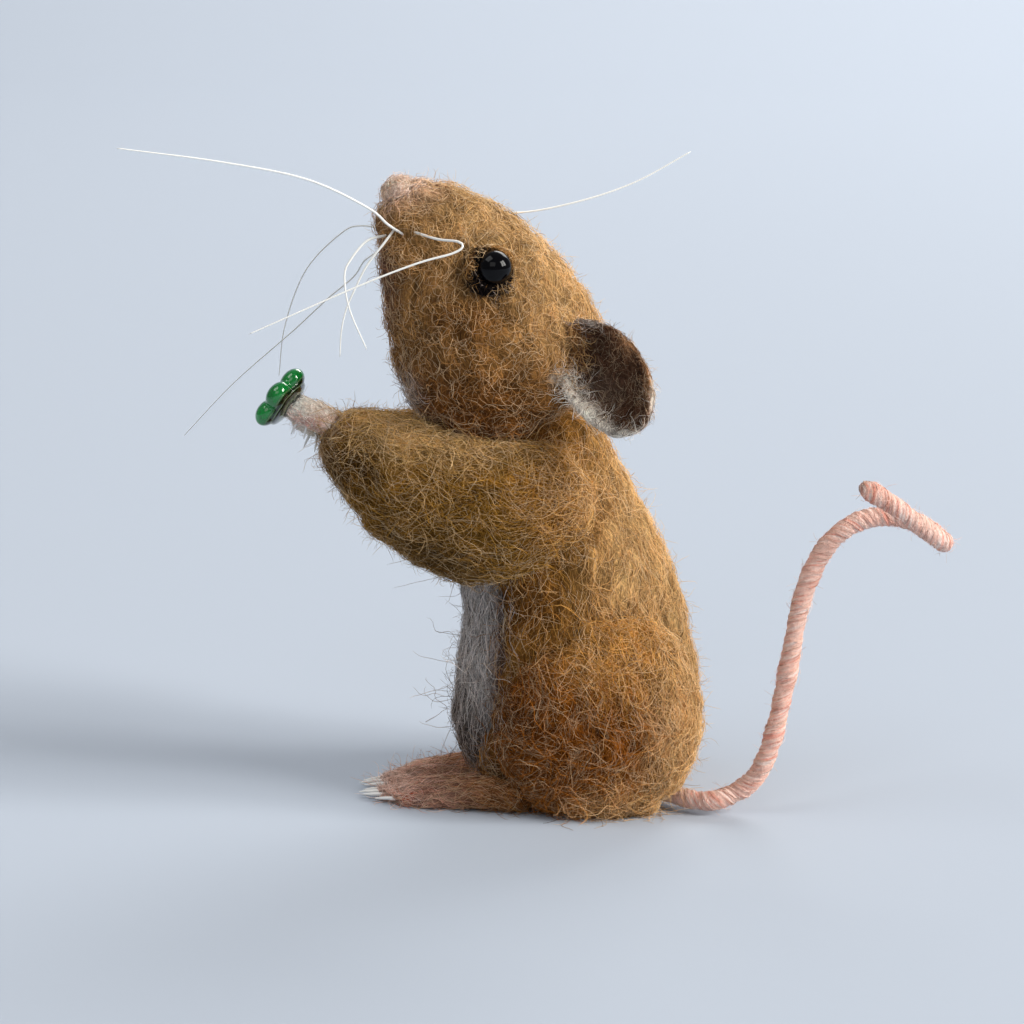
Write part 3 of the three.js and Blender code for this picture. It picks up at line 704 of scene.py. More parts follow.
# How light and dark the fibres of one wool are. Fibres of pale wool differ less.
PALE_WOOL = 1.3
LEAST_SPREAD = 0.3
FIBRE_TONES = (0.55, 1.6)
TINT_DEPTHS = (0.3, 0.9)
BLEACH = 0.65
DARKENING = np.array([0.6, 0.68, 0.78])


def within_white(colours: Array) -> Array:
    """Scales colours that are brighter than white back to it, so that their hue is kept."""
    return np.maximum(colours, 0.0) / np.maximum(colours.max(axis=1, keepdims=True), 1.0)


def fibre_colours(roots: Array, coat: Coat, paint: Paint, rng: np.random.Generator) -> Array:
    """Gives each fibre the wool's colour at its root, bleached or darkened for some.

    Args:
        roots: where the fibres start, in metres.
        coat: the kind of fibre.
        paint: the colours of the wool.
        rng: random numbers.

    Returns:
        A colour in linear light for each fibre.
    """
    count = len(roots)
    wool = paint(roots)
    spread = np.clip(PALE_WOOL - wool.max(axis=1), LEAST_SPREAD, 1.0)
    colours = wool * (1.0 + spread * (rng.uniform(*FIBRE_TONES, count) - 1.0))[:, None]
    kind = rng.random(count)
    depth = rng.uniform(*TINT_DEPTHS, count)[:, None]
    brown = wool[:, 2] < 0.5 * wool[:, 0]
    bleached = np.where(brown[:, None], Shade.STRAW.light, Shade.TAIL_WHITE.light)
    lighter = colours + (bleached - colours) * depth * BLEACH
    colours = np.where((kind < coat.pale)[:, None], lighter, colours)
    deep = colours * (1.0 - depth * DARKENING)
    return within_white(np.where((kind > 1.0 - coat.dark)[:, None], deep, colours))


def kept_above(strands: Strands, floor: float) -> Strands:
    """Keeps fibres from sinking below a height in metres."""
    points = strands.points.copy()
    points[..., 2] = np.maximum(points[..., 2], floor)
    return Strands(points, strands.ups, strands.colours, strands.radius)


# How thick a fibre is at its ends against its middle, and where it is thickest
THIN_END = 0.55
THICKEST_POWER = 0.8


def fibre_points(group: Strands) -> Array:
    """Puts three points round each bend of each fibre, and one at each of its ends.

    Args:
        group: the fibres' centre lines.

    Returns:
        Points in metres by fibre: the root, the rings of three, the tip.
    """
    last = group.points.shape[1] - 1
    inner = group.points[:, 1:last]
    ways = unit(group.points[:, 2:] - group.points[:, :-2])
    sides = unit(np.cross(ways, group.ups[:, 1:last]))
    lifts = np.cross(sides, ways)
    bulge = np.sin(math.pi * (np.arange(1, last) / last) ** THICKEST_POWER)
    thick = group.radius * (THIN_END + (1.0 - THIN_END) * bulge)
    rings = []
    for corner in range(3):
        angle = math.pi / 2.0 + corner * 2.0 * math.pi / 3.0
        shift = sides * math.cos(angle) + lifts * math.sin(angle)
        rings.append(inner + shift * thick[None, :, None])
    ring = np.stack(rings, axis=2).reshape(len(inner), -1, 3)
    return np.concatenate([group.points[:, :1], ring, group.points[:, last:]], axis=1)


def fibre_faces(last: int) -> Array:
    """Numbers the faces of one fibre.

    Args:
        last: how many stretches the fibre has.

    Returns:
        Rows of three point numbers.
    """
    faces = []
    top = 1 + (last - 2) * 3
    for corner in range(3):
        after = (corner + 1) % 3
        faces.append((0, 1 + after, 1 + corner))
        for low in range(1, top, 3):
            high = low + 3
            faces.append((low + corner, low + after, high + corner))
            faces.append((low + after, high + after, high + corner))
        faces.append((top + corner, top + after, top + 3))
    return np.array(faces)


# The margin round a fibre in its cell of the map, and the width that is left
CELL_EDGE = 0.15
CELL_INSIDE = 0.7


def fibre_map(numbers: Array, cells: int, last: int) -> Array:
    """Places each fibre in its own cell of the bake's map.

    Args:
        numbers: the fibres' numbers.
        cells: how many cells the map has along each edge.
        last: how many stretches each fibre has.

    Returns:
        A place on the map for each point of each fibre.
    """
    along = np.concatenate([[0.0], np.repeat(np.arange(1, last) / last, 3), [1.0]])
    across = np.concatenate([[0.5], np.tile([0.2, 0.5, 0.8], last - 1), [0.5]])
    corner_u = (numbers % cells)[:, None] + CELL_EDGE + CELL_INSIDE * across[None]
    corner_v = (numbers // cells)[:, None] + CELL_EDGE + CELL_INSIDE * along[None]
    return np.stack([corner_u, corner_v], axis=2).reshape(-1, 2) / cells


def fibre_object(name: str, groups: Sequence[Strands]) -> bpy.types.Object:
    """Makes one mesh of slender, closed, three-sided fibres.

    Each fibre has its own small rectangle of the bake's map, so its colour is kept.

    Args:
        name: the piece's name.
        groups: the fibres' centre lines.

    Returns:
        The fibres.
    """
    cells = math.ceil(math.sqrt(sum(len(group.points) for group in groups)))
    points, faces, colours, maps = [], [], [], []
    offset = done = 0
    for group in groups:
        count = len(group.points)
        rows = fibre_points(group)
        per = rows.shape[1]
        points.append(rows.reshape(-1, 3))
        bend_faces = fibre_faces(group.points.shape[1] - 1)
        faces.append((bend_faces[None] + (offset + np.arange(count) * per)[:, None, None]).reshape(-1, 3))
        colours.append(np.repeat(group.colours, per, axis=0))
        maps.append(fibre_map(np.arange(done, done + count), cells, group.points.shape[1] - 1))
        offset += count * per
        done += count
    corners = np.concatenate(faces)
    obj = mesh_object(name, np.concatenate(points), corners)
    set_colours(obj, np.concatenate(colours))
    layer = obj.data.uv_layers.new(name="OFBake")
    layer.data.foreach_set("uv", np.concatenate(maps)[corners.ravel()].astype(np.float32).ravel())
    return obj


# Materials


@dataclass(frozen=True)
class ShaderWork:
    """Builds a node tree with fewer words.

    Args:
        tree: the node tree.
    """

    tree: bpy.types.NodeTree

    def node(self, kind: str, **values: object) -> bpy.types.Node:
        """Adds a node, and sets its properties.

        Args:
            kind: the node's type.
            values: its properties.

        Returns:
            The node.
        """
        made = self.tree.nodes.new(kind)
        for key, value in values.items():
            setattr(made, key, value)
        return made

    def link(self, out: bpy.types.NodeSocket, into: bpy.types.NodeSocket) -> None:
        """Joins two sockets."""
        self.tree.links.new(out, into)

    def noise(self, scale: float, detail: float, place: bpy.types.NodeSocket) -> bpy.types.Node:
        """Adds a noise texture read at a place.

        Args:
            scale: how fine it is.
            detail: how many finer layers it has.
            place: the socket that gives the place.

        Returns:
            The noise node.
        """
        made = self.node("ShaderNodeTexNoise")
        made.inputs["Scale"].default_value = scale
        made.inputs["Detail"].default_value = detail
        self.link(place, made.inputs["Vector"])
        return made

    def fill(self, made: bpy.types.Node, values: Sequence[object]) -> None:
        """Links sockets, or writes numbers, to a node's first inputs.

        Args:
            made: the node.
            values: a socket or a number for each input.
        """
        for number, value in enumerate(values):
            if isinstance(value, bpy.types.NodeSocket):
                self.link(value, made.inputs[number])
            else:
                made.inputs[number].default_value = value

    def maths(
        self, operation: str, first: object, second: object = 0.0, held: bool = False
    ) -> bpy.types.NodeSocket:
        """Adds a Math node.

        Args:
            operation: what it works out.
            first: a socket or a number.
            second: a socket or a number.
            held: true to hold the result from 0 to 1.

        Returns:
            Its output.
        """
        made = self.node("ShaderNodeMath", operation=operation, use_clamp=held)
        self.fill(made, (first, second))
        return made.outputs[0]

    def vector(self, operation: str, first: object, second: object) -> bpy.types.Node:
        """Adds a Vector Math node between sockets or vectors."""
        made = self.node("ShaderNodeVectorMath", operation=operation)
        self.fill(made, (first, second))
        return made

    def mix(self, share: object, first: object, second: object) -> bpy.types.NodeSocket:
        """Mixes two colours.

        Args:
            share: how much of the second shows, held from 0 to 1: a socket or a number.
            first: a socket or a colour.
            second: a socket or a colour.

        Returns:
            The mixed colour.
        """
        made = self.node("ShaderNodeMix", data_type="RGBA", clamp_factor=True)
        for name, value in (("Factor", share), ("A", first), ("B", second)):
            if isinstance(value, bpy.types.NodeSocket):
                self.link(value, made.inputs[name])
            else:
                made.inputs[name].default_value = value
        return made.outputs["Result"]


@dataclass(frozen=True)
class TangleLayer:
    """One layer of the tangle.

    Args:
        pace: how fine its noise is, against the wool's grain.
        lines: how many level lines it draws over the noise's range.
        wide: the width of a line, as a share of the gap between two.
        gain: how strongly it shows.
    """

    pace: float
    lines: float
    wide: float
    gain: float


TANGLE_LAYERS = (
    TangleLayer(1.0, 5.0, 0.2, 0.9),
    TangleLayer(0.66, 7.0, 0.17, 1.1),
    TangleLayer(1.5, 4.0, 0.22, 0.8),
    TangleLayer(0.45, 10.0, 0.15, 1.3),
)
# How far apart the layers' noises are read, from where in the next layer's noise the lines show and how
# steeply, and how many lines lie over each other at most and on average
TANGLE_SHIFT = (0.37, 0.71, 1.13)
LINES_FROM = 0.28
LINES_RISE = 4.0
MOST_LINES = 1.25
MEAN_LINES = 0.7
TANGLE_SOCKETS = (
    ("Color", "INPUT", "NodeSocketColor"),
    ("Depth", "INPUT", "NodeSocketFloat"),
    ("Grain", "INPUT", "NodeSocketFloat"),
    ("Place", "INPUT", "NodeSocketVector"),
    ("Color", "OUTPUT", "NodeSocketColor"),
    ("Height", "OUTPUT", "NodeSocketFloat"),
)


def tangle_group() -> bpy.types.NodeTree:
    """The shared effect: a tangle of curly fibres, drawn as the level lines of noises.

    Takes the wool's colour, how strong the fibres show, how fine they are, and the place on the felt.
    Gives the colour and the height of the fibres.

    Returns:
        The shared node group.
    """
    found = bpy.data.node_groups.get("fibre tangle")
    if found:
        return found
    tree = bpy.data.node_groups.new("fibre tangle", "ShaderNodeTree")
    for name, way, kind in TANGLE_SOCKETS:
        tree.interface.new_socket(name, in_out=way, socket_type=kind)
    work = ShaderWork(tree)
    into, out = work.node("NodeGroupInput"), work.node("NodeGroupOutput")
    fields = []
    for layer in TANGLE_LAYERS:
        shift = tuple(layer.pace * part for part in TANGLE_SHIFT)
        noise = work.noise(1.0, 1.5, work.vector("ADD", into.outputs["Place"], shift).outputs["Vector"])
        work.link(work.maths("MULTIPLY", into.outputs["Grain"], layer.pace), noise.inputs["Scale"])
        fields.append(noise.outputs["Fac"])
    tone: bpy.types.NodeSocket | None = None
    height: bpy.types.NodeSocket | None = None
    for number, layer in enumerate(TANGLE_LAYERS):
        ladder = work.maths("FRACT", work.maths("MULTIPLY", fields[number], layer.lines))
        level = work.maths("ABSOLUTE", work.maths("SUBTRACT", ladder, 0.5))
        line = work.maths("SUBTRACT", 1.0, work.maths("DIVIDE", level, layer.wide), held=True)
        other = work.maths("SUBTRACT", fields[(number + 1) % len(fields)], LINES_FROM)
        shown = work.maths("MULTIPLY", line, work.maths("MULTIPLY", other, LINES_RISE), held=True)
        share = work.maths("MULTIPLY", shown, layer.gain)
        tone = share if tone is None else work.maths("ADD", tone, share)
        height = share if height is None else work.maths("MAXIMUM", height, share)
    shown = work.maths("MINIMUM", tone, MOST_LINES)
    shade = work.maths("MULTIPLY", work.maths("SUBTRACT", shown, MEAN_LINES), into.outputs["Depth"])
    scaled = work.node("ShaderNodeVectorMath", operation="SCALE")
    work.link(into.outputs["Color"], scaled.inputs[0])
    work.link(work.maths("ADD", shade, 1.0), scaled.inputs["Scale"])
    work.link(scaled.outputs[0], out.inputs["Color"])
    work.link(height, out.inputs["Height"])
    return tree


COAT_ROUGHNESS = 0.03
WOOL_SHINE = 0.06
SHEEN_ROUGHNESS = 0.45
BUMP_STRENGTH = 0.8
SPECK_DETAIL = 4.0


def new_material(
    name: str, inputs: dict[str, object]
) -> tuple[bpy.types.Material, ShaderWork, bpy.types.Node]:
    """Makes a material.

    Args:
        name: the material's name.
        inputs: values for its shader's inputs.

    Returns:
        The material, its node tree to work on, and its shader.
    """
    made = bpy.data.materials.new(name)
    made.use_nodes = True
    shader = made.node_tree.nodes["Principled BSDF"]
    for key, value in inputs.items():
        shader.inputs[key].default_value = value
    return made, ShaderWork(made.node_tree), shader


@dataclass(frozen=True)
class WoolFinish:
    """A wool that reads its colour from the fibres' own colours.

    Args:
        name: the material's name.
        grain: curls to a metre.
        depth: how strong the fibres show.
        bump: the height of the tangle, in metres. Loose fibres have none.
        combed: true where the felt has a map of the way its fibres lie.
        roughness: how dull the fibres are.
        sheen: how much the surface fuzz catches the light.
    """

    name: str
    grain: float = 1500.0
    depth: float = 0.6
    bump: float = 0.00014
    combed: bool = True
    roughness: float = 0.92
    sheen: float = 0.04

    def material(self) -> bpy.types.Material:
        """Builds the material once and returns it.

        Returns:
            The material.
        """
        found = bpy.data.materials.get(self.name)
        if found:
            return found
        made, work, shader = new_material(self.name, {
            "Roughness": self.roughness,
            "Specular IOR Level": WOOL_SHINE,
            "Sheen Weight": self.sheen,
            "Sheen Roughness": SHEEN_ROUGHNESS,
        })
        wool = work.node("ShaderNodeAttribute", attribute_name="wool")
        tangle = work.node("ShaderNodeGroup")
        tangle.node_tree = tangle_group()
        tangle.inputs["Grain"].default_value = self.grain
        tangle.inputs["Depth"].default_value = self.depth
        if self.combed:
            place = work.node("ShaderNodeAttribute", attribute_name="lie").outputs["Vector"]
        else:
            place = work.node("ShaderNodeTexCoord").outputs["Object"]
        work.link(place, tangle.inputs["Place"])
        work.link(wool.outputs["Color"], tangle.inputs["Color"])
        work.link(tangle.outputs["Color"], shader.inputs["Base Color"])
        if self.bump:
            bump = work.node("ShaderNodeBump")
            bump.inputs["Strength"].default_value = BUMP_STRENGTH
            bump.inputs["Distance"].default_value = self.bump
            work.link(tangle.outputs["Height"], bump.inputs["Height"])
            work.link(bump.outputs["Normal"], shader.inputs["Normal"])
        return made


FELT = WoolFinish("felted wool")
FINE_FELT = WoolFinish("fine felted wool", grain=1900.0, depth=0.5, bump=0.0001)
PALE_FELT = WoolFinish("pale felted wool", grain=1900.0, depth=0.22, bump=0.0001)
FIBRE = WoolFinish("loose wool fibre", depth=0.12, bump=0.0, combed=False, roughness=0.75, sheen=0.02)
WRAP = WoolFinish(
    "wound pink wool", grain=2200.0, depth=0.16, bump=0.00006, combed=False, roughness=0.85, sheen=0.3
)


@dataclass(frozen=True)
class HardFinish:
    """A hard surface, with fine wear or smudges.

    Args:
        name: the material's name.
        colour: in screen values.
        other: the colour of its worn or smudged specks.
        specks: how much of that shows.
        grain: specks to a metre.
        roughness: how dull it is.
        spread: how much duller its specks are.
        metallic: 1 for a metal.
        coat: how much clear coat it has.
        transmission: how much light it lets through.
        ior: how strongly it bends light.
    """

    name: str
    colour: tuple[int, int, int]
    other: tuple[int, int, int]
    specks: float = 0.2
    grain: float = 900.0
    roughness: float = 0.3
    spread: float = 0.1
    metallic: float = 0.0
    coat: float = 0.0
    transmission: float = 0.0
    ior: float = 1.5

    def material(self) -> bpy.types.Material:
        """Builds the material once and returns it.

        Returns:
            The material.
        """
        found = bpy.data.materials.get(self.name)
        if found:
            return found
        made, work, shader = new_material(self.name, {
            "Metallic": self.metallic,
            "Coat Weight": self.coat,
            "Coat Roughness": COAT_ROUGHNESS,
            "Transmission Weight": self.transmission,
            "IOR": self.ior,
        })
        places = work.node("ShaderNodeTexCoord").outputs["Object"]
        speck = work.noise(self.grain, SPECK_DETAIL, places).outputs["Fac"]
        share = work.maths("MULTIPLY", speck, self.specks)
        colour = work.mix(share, opaque(*self.colour), opaque(*self.other))
        work.link(colour, shader.inputs["Base Color"])
        rough = work.maths("MULTIPLY", speck, self.spread)
        work.link(work.maths("ADD", rough, self.roughness), shader.inputs["Roughness"])
        return made


EYE_GLASS = HardFinish("black glass", (3, 3, 5), (14, 13, 18), 0.3, 300.0, 0.04, 0.04, ior=1.26)
STEEL = HardFinish("steel wire", (150, 152, 156), (96, 92, 88), 0.5, 1200.0, 0.3, 0.2, metallic=1.0)
CLAW_WHITE = HardFinish(
    "white claw wire", (250, 250, 248), (214, 206, 196), 0.35, 1600.0, 0.25, 0.2, coat=0.5
)
WHISKER_WHITE = HardFinish(
    "white whisker", (244, 244, 240), (205, 205, 200), 0.3, 1500.0, 0.25, 0.15, coat=0.3
)


def dress(obj: bpy.types.Object, finish: WoolFinish | HardFinish) -> None:
    """Gives the object one material."""
    obj.data.materials.clear()
    obj.data.materials.append(finish.material())


# Felt forms


# Roots tried for each that is kept, the locks of wool, the skin's own relief, and the least heights
SPARE_ROOTS = 1.6
SPARE_ROOTS_ROUND_A_SPOT = 12.0
LOCK_SIZES = (2.4, 1.1)
FINE_LOCKS = 0.7
DARKEST_LOCK = 0.35
WELD_GAP = 1e-6
SOFTENING = 0.5
FINE_LUMPS = 0.35
# How much darker the felt under the fibres is painted in dark wool, as painted shade between the fibres
SKIN_CONTRAST = 1.1
ROOTS_FROM = 0.3 * MM
FIBRES_FROM = 0.1 * MM
CLEAR_OF_SKIN = 0.5
COVER = 0.2 * MM


@dataclass
class FeltForm:
    """A felted form: a fine skin over the shape of its solid, and fibres that lie on it.

    Args:
        node: the solid that it stands for.
        body: the moving body that it belongs to.
        slot: the record's material; not used.
        paint: its colours.
        lie: the way its fibres lie.
        coats: its fibres.
        seed: of its patterns and its random numbers.
        voxel: the size of the skin's faces, in millimetres.
        swell: how far the skin stands off the solid, in millimetres.
        lumps: how far the hand-felted lumps rise, in millimetres.
        lump_size: the distance between two lumps, in millimetres.
        smooth: how many times the skin is softened.
        locks: how much lighter and darker the locks of wool are.
        under: nodes whose forms hide part of this one.
        felt: the finish of the skin.
        depth: how light the felt under the fibres is, against the fibres; below 1 that darkening is painted
            shade between the fibres.
        skin: the made skin.
        surface: the made skin as arrays.
    """

    node: str
    body: str
    slot: str
    paint: Paint
    lie: Lie
    coats: Sequence[Coat]
    seed: int
    voxel: float = 0.7
    swell: float = 0.1
    lumps: float = 0.3
    lump_size: float = 5.0
    smooth: int = 4
    locks: float = 0.26
    under: Sequence[str] = ()
    felt: WoolFinish = FELT
    depth: float = 0.62
    skin: bpy.types.Object | None = None
    surface: Surface | None = field(default=None, repr=False)

    def wool(self, points: Array) -> Array:
        """Gives the wool's colours, in locks that lie with the fibres.

        Args:
            points: places in metres.

        Returns:
            Colours in linear light.
        """
        lie = self.lie.mapped(points)
        broad, fine = Waves(self.seed + 50, LOCK_SIZES[0]), Waves(self.seed + 51, LOCK_SIZES[1])
        tone = 1.0 + self.locks * (broad.at(lie) + FINE_LOCKS * fine.at(lie))
        return within_white(self.paint(points) * np.maximum(tone, DARKEST_LOCK)[:, None])

    def fine_copy(self, source: bpy.types.Object) -> bpy.types.Object:
        """Copies the solid, remeshes it finely and softens it.

        Args:
            source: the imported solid.

        Returns:
            The copy.
        """
        mesh = source.data.copy()
        mesh.name = f"{self.node}_felt"
        skin = bpy.data.objects.new(f"{self.node}_felt", mesh)
        bpy.context.scene.collection.objects.link(skin)
        select_only(skin)
        bpy.ops.object.mode_set(mode="EDIT")
        bpy.ops.mesh.select_all(action="SELECT")
        bpy.ops.mesh.remove_doubles(threshold=WELD_GAP)
        bpy.ops.object.mode_set(mode="OBJECT")
        while skin.data.uv_layers:
            skin.data.uv_layers.remove(skin.data.uv_layers[0])
        remesh = skin.modifiers.new("fine faces", "REMESH")
        remesh.mode = "VOXEL"
        remesh.voxel_size = self.voxel * MM
        soften = skin.modifiers.new("soften", "SMOOTH")
        soften.factor = SOFTENING
        soften.iterations = self.smooth
        apply_all(skin)
        return skin

    def make_skin(self, source: bpy.types.Object) -> None:
        """Makes the felt: a fine copy of the solid with lumps and colours.

        Args:
            source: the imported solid.
        """
        skin = self.fine_copy(source)
        normals = Surface.of(skin).normals
        places = vertex_places(skin)
        height = self.swell + self.lumps * Waves(self.seed, self.lump_size).at(places)
        height += FINE_LUMPS * self.lumps * Waves(self.seed + 7, self.lump_size / 3.0).at(places)
        places += normals * height[:, None] * MM
        places[:, 2] = np.maximum(places[:, 2], 0.0)
        set_vertex_places(skin, places)
        skin.data.update()
        skin.data.polygons.foreach_set("use_smooth", np.ones(len(skin.data.polygons), bool))
        # The felt is painted darker than its fibres by depth, as painted shade between them
        set_colours(skin, self.depth * self.wool(places) ** SKIN_CONTRAST)
        lie = skin.data.attributes.new("lie", "FLOAT_VECTOR", "POINT")
        lie.data.foreach_set("vector", self.lie.mapped(places).astype(np.float32).ravel())
        dress(skin, self.felt)
        self.skin = skin
        self.surface = Surface.of(skin)

    def grow(self, forms: dict[str, FeltForm], ground: Surface) -> int:
        """Grows the fibres where the form isn't covered by another.

        Args:
            forms: all the forms by name.
            ground: the joined skins that the fibres lie on.

        Returns:
            How many faces the fibres have.
        """
        others = [forms[name].surface for name in self.under]
        groups: dict[str, list[Strands]] = {"fibres": [], "fuzz": []}
        for number, coat in enumerate(self.coats):
            seed = self.seed * 100 + number
            rng = np.random.default_rng(seed)
            spare = SPARE_ROOTS if coat.everywhere else SPARE_ROOTS_ROUND_A_SPOT
            roots, normals = self.surface.scatter(int(coat.count * spare), rng)
            held = coat.held(roots)
            roots, normals = roots[held], normals[held]
            covered = hidden(roots + normals * CLEAR_OF_SKIN * MM, others, COVER)
            open_air = (roots[:, 2] > ROOTS_FROM) & ~covered
            roots, normals = roots[open_air][: coat.count], normals[open_air][: coat.count]
            strands = grown(ground, roots, normals, coat, self.lie.ways, self.wool, seed)
            groups["fuzz" if coat.loose else "fibres"].append(kept_above(strands, FIBRES_FROM))
        faces = 0
        for kind, strands in groups.items():
            if strands:
                fibres = fibre_object(f"{self.node}_{kind}", strands)
                dress(fibres, FIBRE)
                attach(fibres, self.body)
                faces += len(fibres.data.polygons)
        return faces

    def finish(self) -> None:
        """Sets the skin to ride on its body, and hides the solid that it stands for."""
        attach(self.skin, self.body)
        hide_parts(self.node)


@dataclass
class FeltedMouse:
    """All the felted forms of the mouse.

    PALE_RIM lists the pale patches round an ear: shares of its half width and half height, and their reach.

    Args:
        nodes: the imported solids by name.
        forms: the felted forms by name.
    """

    PALE_RIM: ClassVar[tuple[tuple[float, float, tuple[float, float]], ...]] = (
        (-1.02, -0.04, (2.9, 2.5)),
        (-0.80, -0.36, (3.0, 2.4)),
        (-0.47, -0.68, (2.8, 2.1)),
        (-0.05, -0.90, (2.8, 1.7)),
        (0.40, -1.00, (2.8, 1.6)),
        (0.80, -0.92, (2.2, 1.5)),
    )

    nodes: dict[str, bpy.types.Object]
    forms: dict[str, FeltForm] = field(default_factory=dict)

    def add(self, form: FeltForm) -> None:
        """Adds a form to the mouse."""
        self.forms[form.node] = form

    def head(self) -> None:
        """The head, paler at the snout, with painted light on the forehead and the back of the head, and
        painted shade low on the cheeks and below the left eye.
        """
        paint = painted(
            Shade.HEAD,
            # Painted light over the top of the head
            Patch(Shade.FOREHEAD, (-2, 0, 85), (25, 26, 18), 0.95),
            # Painted light on the back of the head
            Patch(Shade.BACK, (5, 0, 72), (14, 26, 13), 0.7),
            # Painted shade low on the cheeks
            Patch(Shade.CHEEK, (-12, 0, 56), (24, 30, 15), 0.9),
            Patch(Shade.CHEST_GREY, (-18.5, 0, 60), (3.6, 16, 6), 0.9),
            Patch(Shade.MUZZLE, (-24, -4, 75), (6, 12, 12), 0.85),
            Patch(Shade.SNOUT, (-20, -4, 88), (9, 9, 5), 0.9),
            # Painted shade below the left eye
            Patch(Shade.CHEEK, (-11, -12, 71), (7, 5, 4), 0.45),
            Patch(Shade.EAR_WHITE, (1.5, -13, 63.0), (1.7, 8, 1.5), 0.6),
            Patch(Shade.NOSE, (-19.4, -2, 88.8), (4.2, 9, 3.4), 0.9),
            seed=11,
        )
        whirls = (Whirl((-10, 66), 11.0, -0.45), Whirl((-2, 84), 9.0, 0.4))
        lie = Lie((0.35, -1), whirls, ripple=0.8, wave=10, seed=111)
        coats = [
            COMBED.of(
                4500, length=(2.2, 4.4), crimp=0.6, stray=0.5, curl=0.3, loft=0.7, lift=0.3, pale=0.35
            ),
            CURLY.of(1900, length=(2.8, 6.0), radius=0.036, crimp=0.7, stray=0.7, curl=0.5, pale=0.75),
            WISPY.of(1000, length=(1.5, 4.0)),
            FUZZ.of(3000),
            *(
                TRAILING.of(90, length=(3.0, 7.0), joints=6, pale=0.3, spot=(x, y, 57.0), reach=6.0)
                for x in (-13.0, -2.0)
                for y in (-9.5, 9.5)
            ),
        ]
        around = ("torso", "left_eye_surround", "right_eye_surround")
        self.add(FeltForm("head", "body", "head_wool", paint, lie, coats, 11, voxel=0.6, under=around))

    def nose(self) -> None:
        """The pale pink pad on the tip of the snout."""
        self.add(FeltForm(
            "nose_pad", "body", "nose_wool",
            painted(Shade.NOSE, seed=13), Lie((-0.6, 0.7), ripple=0.9, wave=4),
            [
                COMBED.of(
                    700, length=(1.0, 2.4), radius=0.036, loft=0.4, crimp=0.8, stray=1.2, lift=0.4, pale=0.4
                ),
                WISPY.of(200, length=(0.8, 2.0), radius=0.024),
            ],
            13, voxel=0.25, swell=0.3, lumps=0.12, lump_size=1.6, depth=1.0, locks=0.1, felt=PALE_FELT,
        ))

    def eye_surrounds(self) -> None:
        """The dark wool round and under each eye."""
        for side, seed in (("left", 14), ("right", 15)):
            low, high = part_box(f"{side}_eye_surround")
            corner = (high.x / MM, (low.y + high.y) / 2 / MM, high.z / MM)
            edge = Patch(Shade.HEAD, (low.x / MM - 0.4, corner[1], high.z / MM - 2.0), (1.7, 6, 4.0), 0.95)
            ring = painted(Shade.EYE_DARK, Patch(Shade.HEAD, corner, (5.2, 6, 4.6), 0.9), edge, seed=seed)
            self.add(FeltForm(
                f"{side}_eye_surround", "body", "dark_wool", ring, Lie((0.3, -1), ripple=0.9, wave=4),
                [COMBED.of(600, length=(1.2, 2.8), loft=0.35, crimp=0.8, stray=1.0, lift=0.5, pale=0.05)],
                seed, voxel=0.25, lumps=0.1, lump_size=1.8, swell=-0.1, felt=FINE_FELT,
            ))

    def torso(self) -> None:
        """The torso, with painted light down the back and on the rump, and painted shade under the head,
        between the left arm and the haunch, and low at the front.
        """
        paint = painted(
            Shade.SHOULDER,
            # Painted light down the back
            Patch(Shade.BACK, (19, 0, 36), (19, 40, 38), 1.0),
            # Painted light on the rump
            Patch(Shade.RUMP, (14, 0, 6), (22, 30, 14), 0.7),
            # Painted shade between the left arm and the haunch
            Patch(Shade.THIGH_DEEP, (-4, -10, 31), (8, 12, 8), 0.6),
            # Painted shade low at the front
            Patch(Shade.THIGH_DEEP, (-7, 0, 12), (5, 16, 16), 0.7),
            # Painted shade on the neck, under the head
            Patch(Shade.CHEEK, (-6, 0, 54), (12, 20, 5), 0.85),
            seed=21,
        )
        coats = [
            COMBED.of(4100),
            CURLY.of(1350),
            WISPY.of(900),
            FUZZ.of(2800),
            TRAILING.of(200, below=3.0),
        ]
        under = ("head", "left_haunch", "right_haunch", "belly_bib")
        lie = Lie((0.14, -1), (Whirl((-4, 33), 9.0, 0.5),), ripple=0.6, seed=121)
        self.add(FeltForm("torso", "body", "brown_wool", paint, lie, coats, 21, under=under))

    def bib(self) -> None:
        """The grey-white bib, brown at its sides, with painted shade over its front and a painted shadow at
        its foot.
        """
        paint = painted(
            Shade.BIB,
            # Painted shade over the bib's front
            Patch(Shade.BIB_GREY, (-13, 0, 22), (4, 12, 26), 0.4),
            # Painted shadow at the bib's foot
            Patch(Shade.BIB_LOW, (-11, 0, 6), (12, 16, 15), 0.95),
            # Deep brown wool at the bib's sides
            *(Patch(Shade.THIGH_DEEP, (-5, y, 24), (4, 3.4, 24), 0.8) for y in (-9.5, 9.5)),
            seed=23, mottle=0.1,
        )
        self.add(FeltForm(
            "belly_bib", "body", "pale_wool", paint, Lie((0, -1), ripple=0.35, seed=123),
            [
                COMBED.of(2700, length=(3.5, 8.0), crimp=0.25, stray=0.12, lift=0.5, pale=0.5, dark=0.1),
                WISPY.of(450, length=(2.5, 7.0), joints=8, radius=0.03, stray=1.0, lift=0.8, pale=0.6),
                FUZZ.of(1200, length=(0.8, 3.6)),
                TRAILING.of(60, length=(6.0, 12.0), joints=12, radius=0.04, curl=0.25, lift=1.2, pale=1.0),
            ],
            23, voxel=0.6, under=("head", "left_haunch", "right_haunch"),
        ))

    def limbs(self) -> None:
        """The haunches, arms, paws and feet of the left side, whose sign is -1, and of the right."""
        for side, sign, seed in (("left", -1, 31), ("right", 1, 41)):
            self.haunch(side, 11.0 * sign, seed)
            self.arm(side, sign, seed + 2)
            self.paw(side, seed + 4)
            self.foot(side, 5.5 * sign, seed + 6)

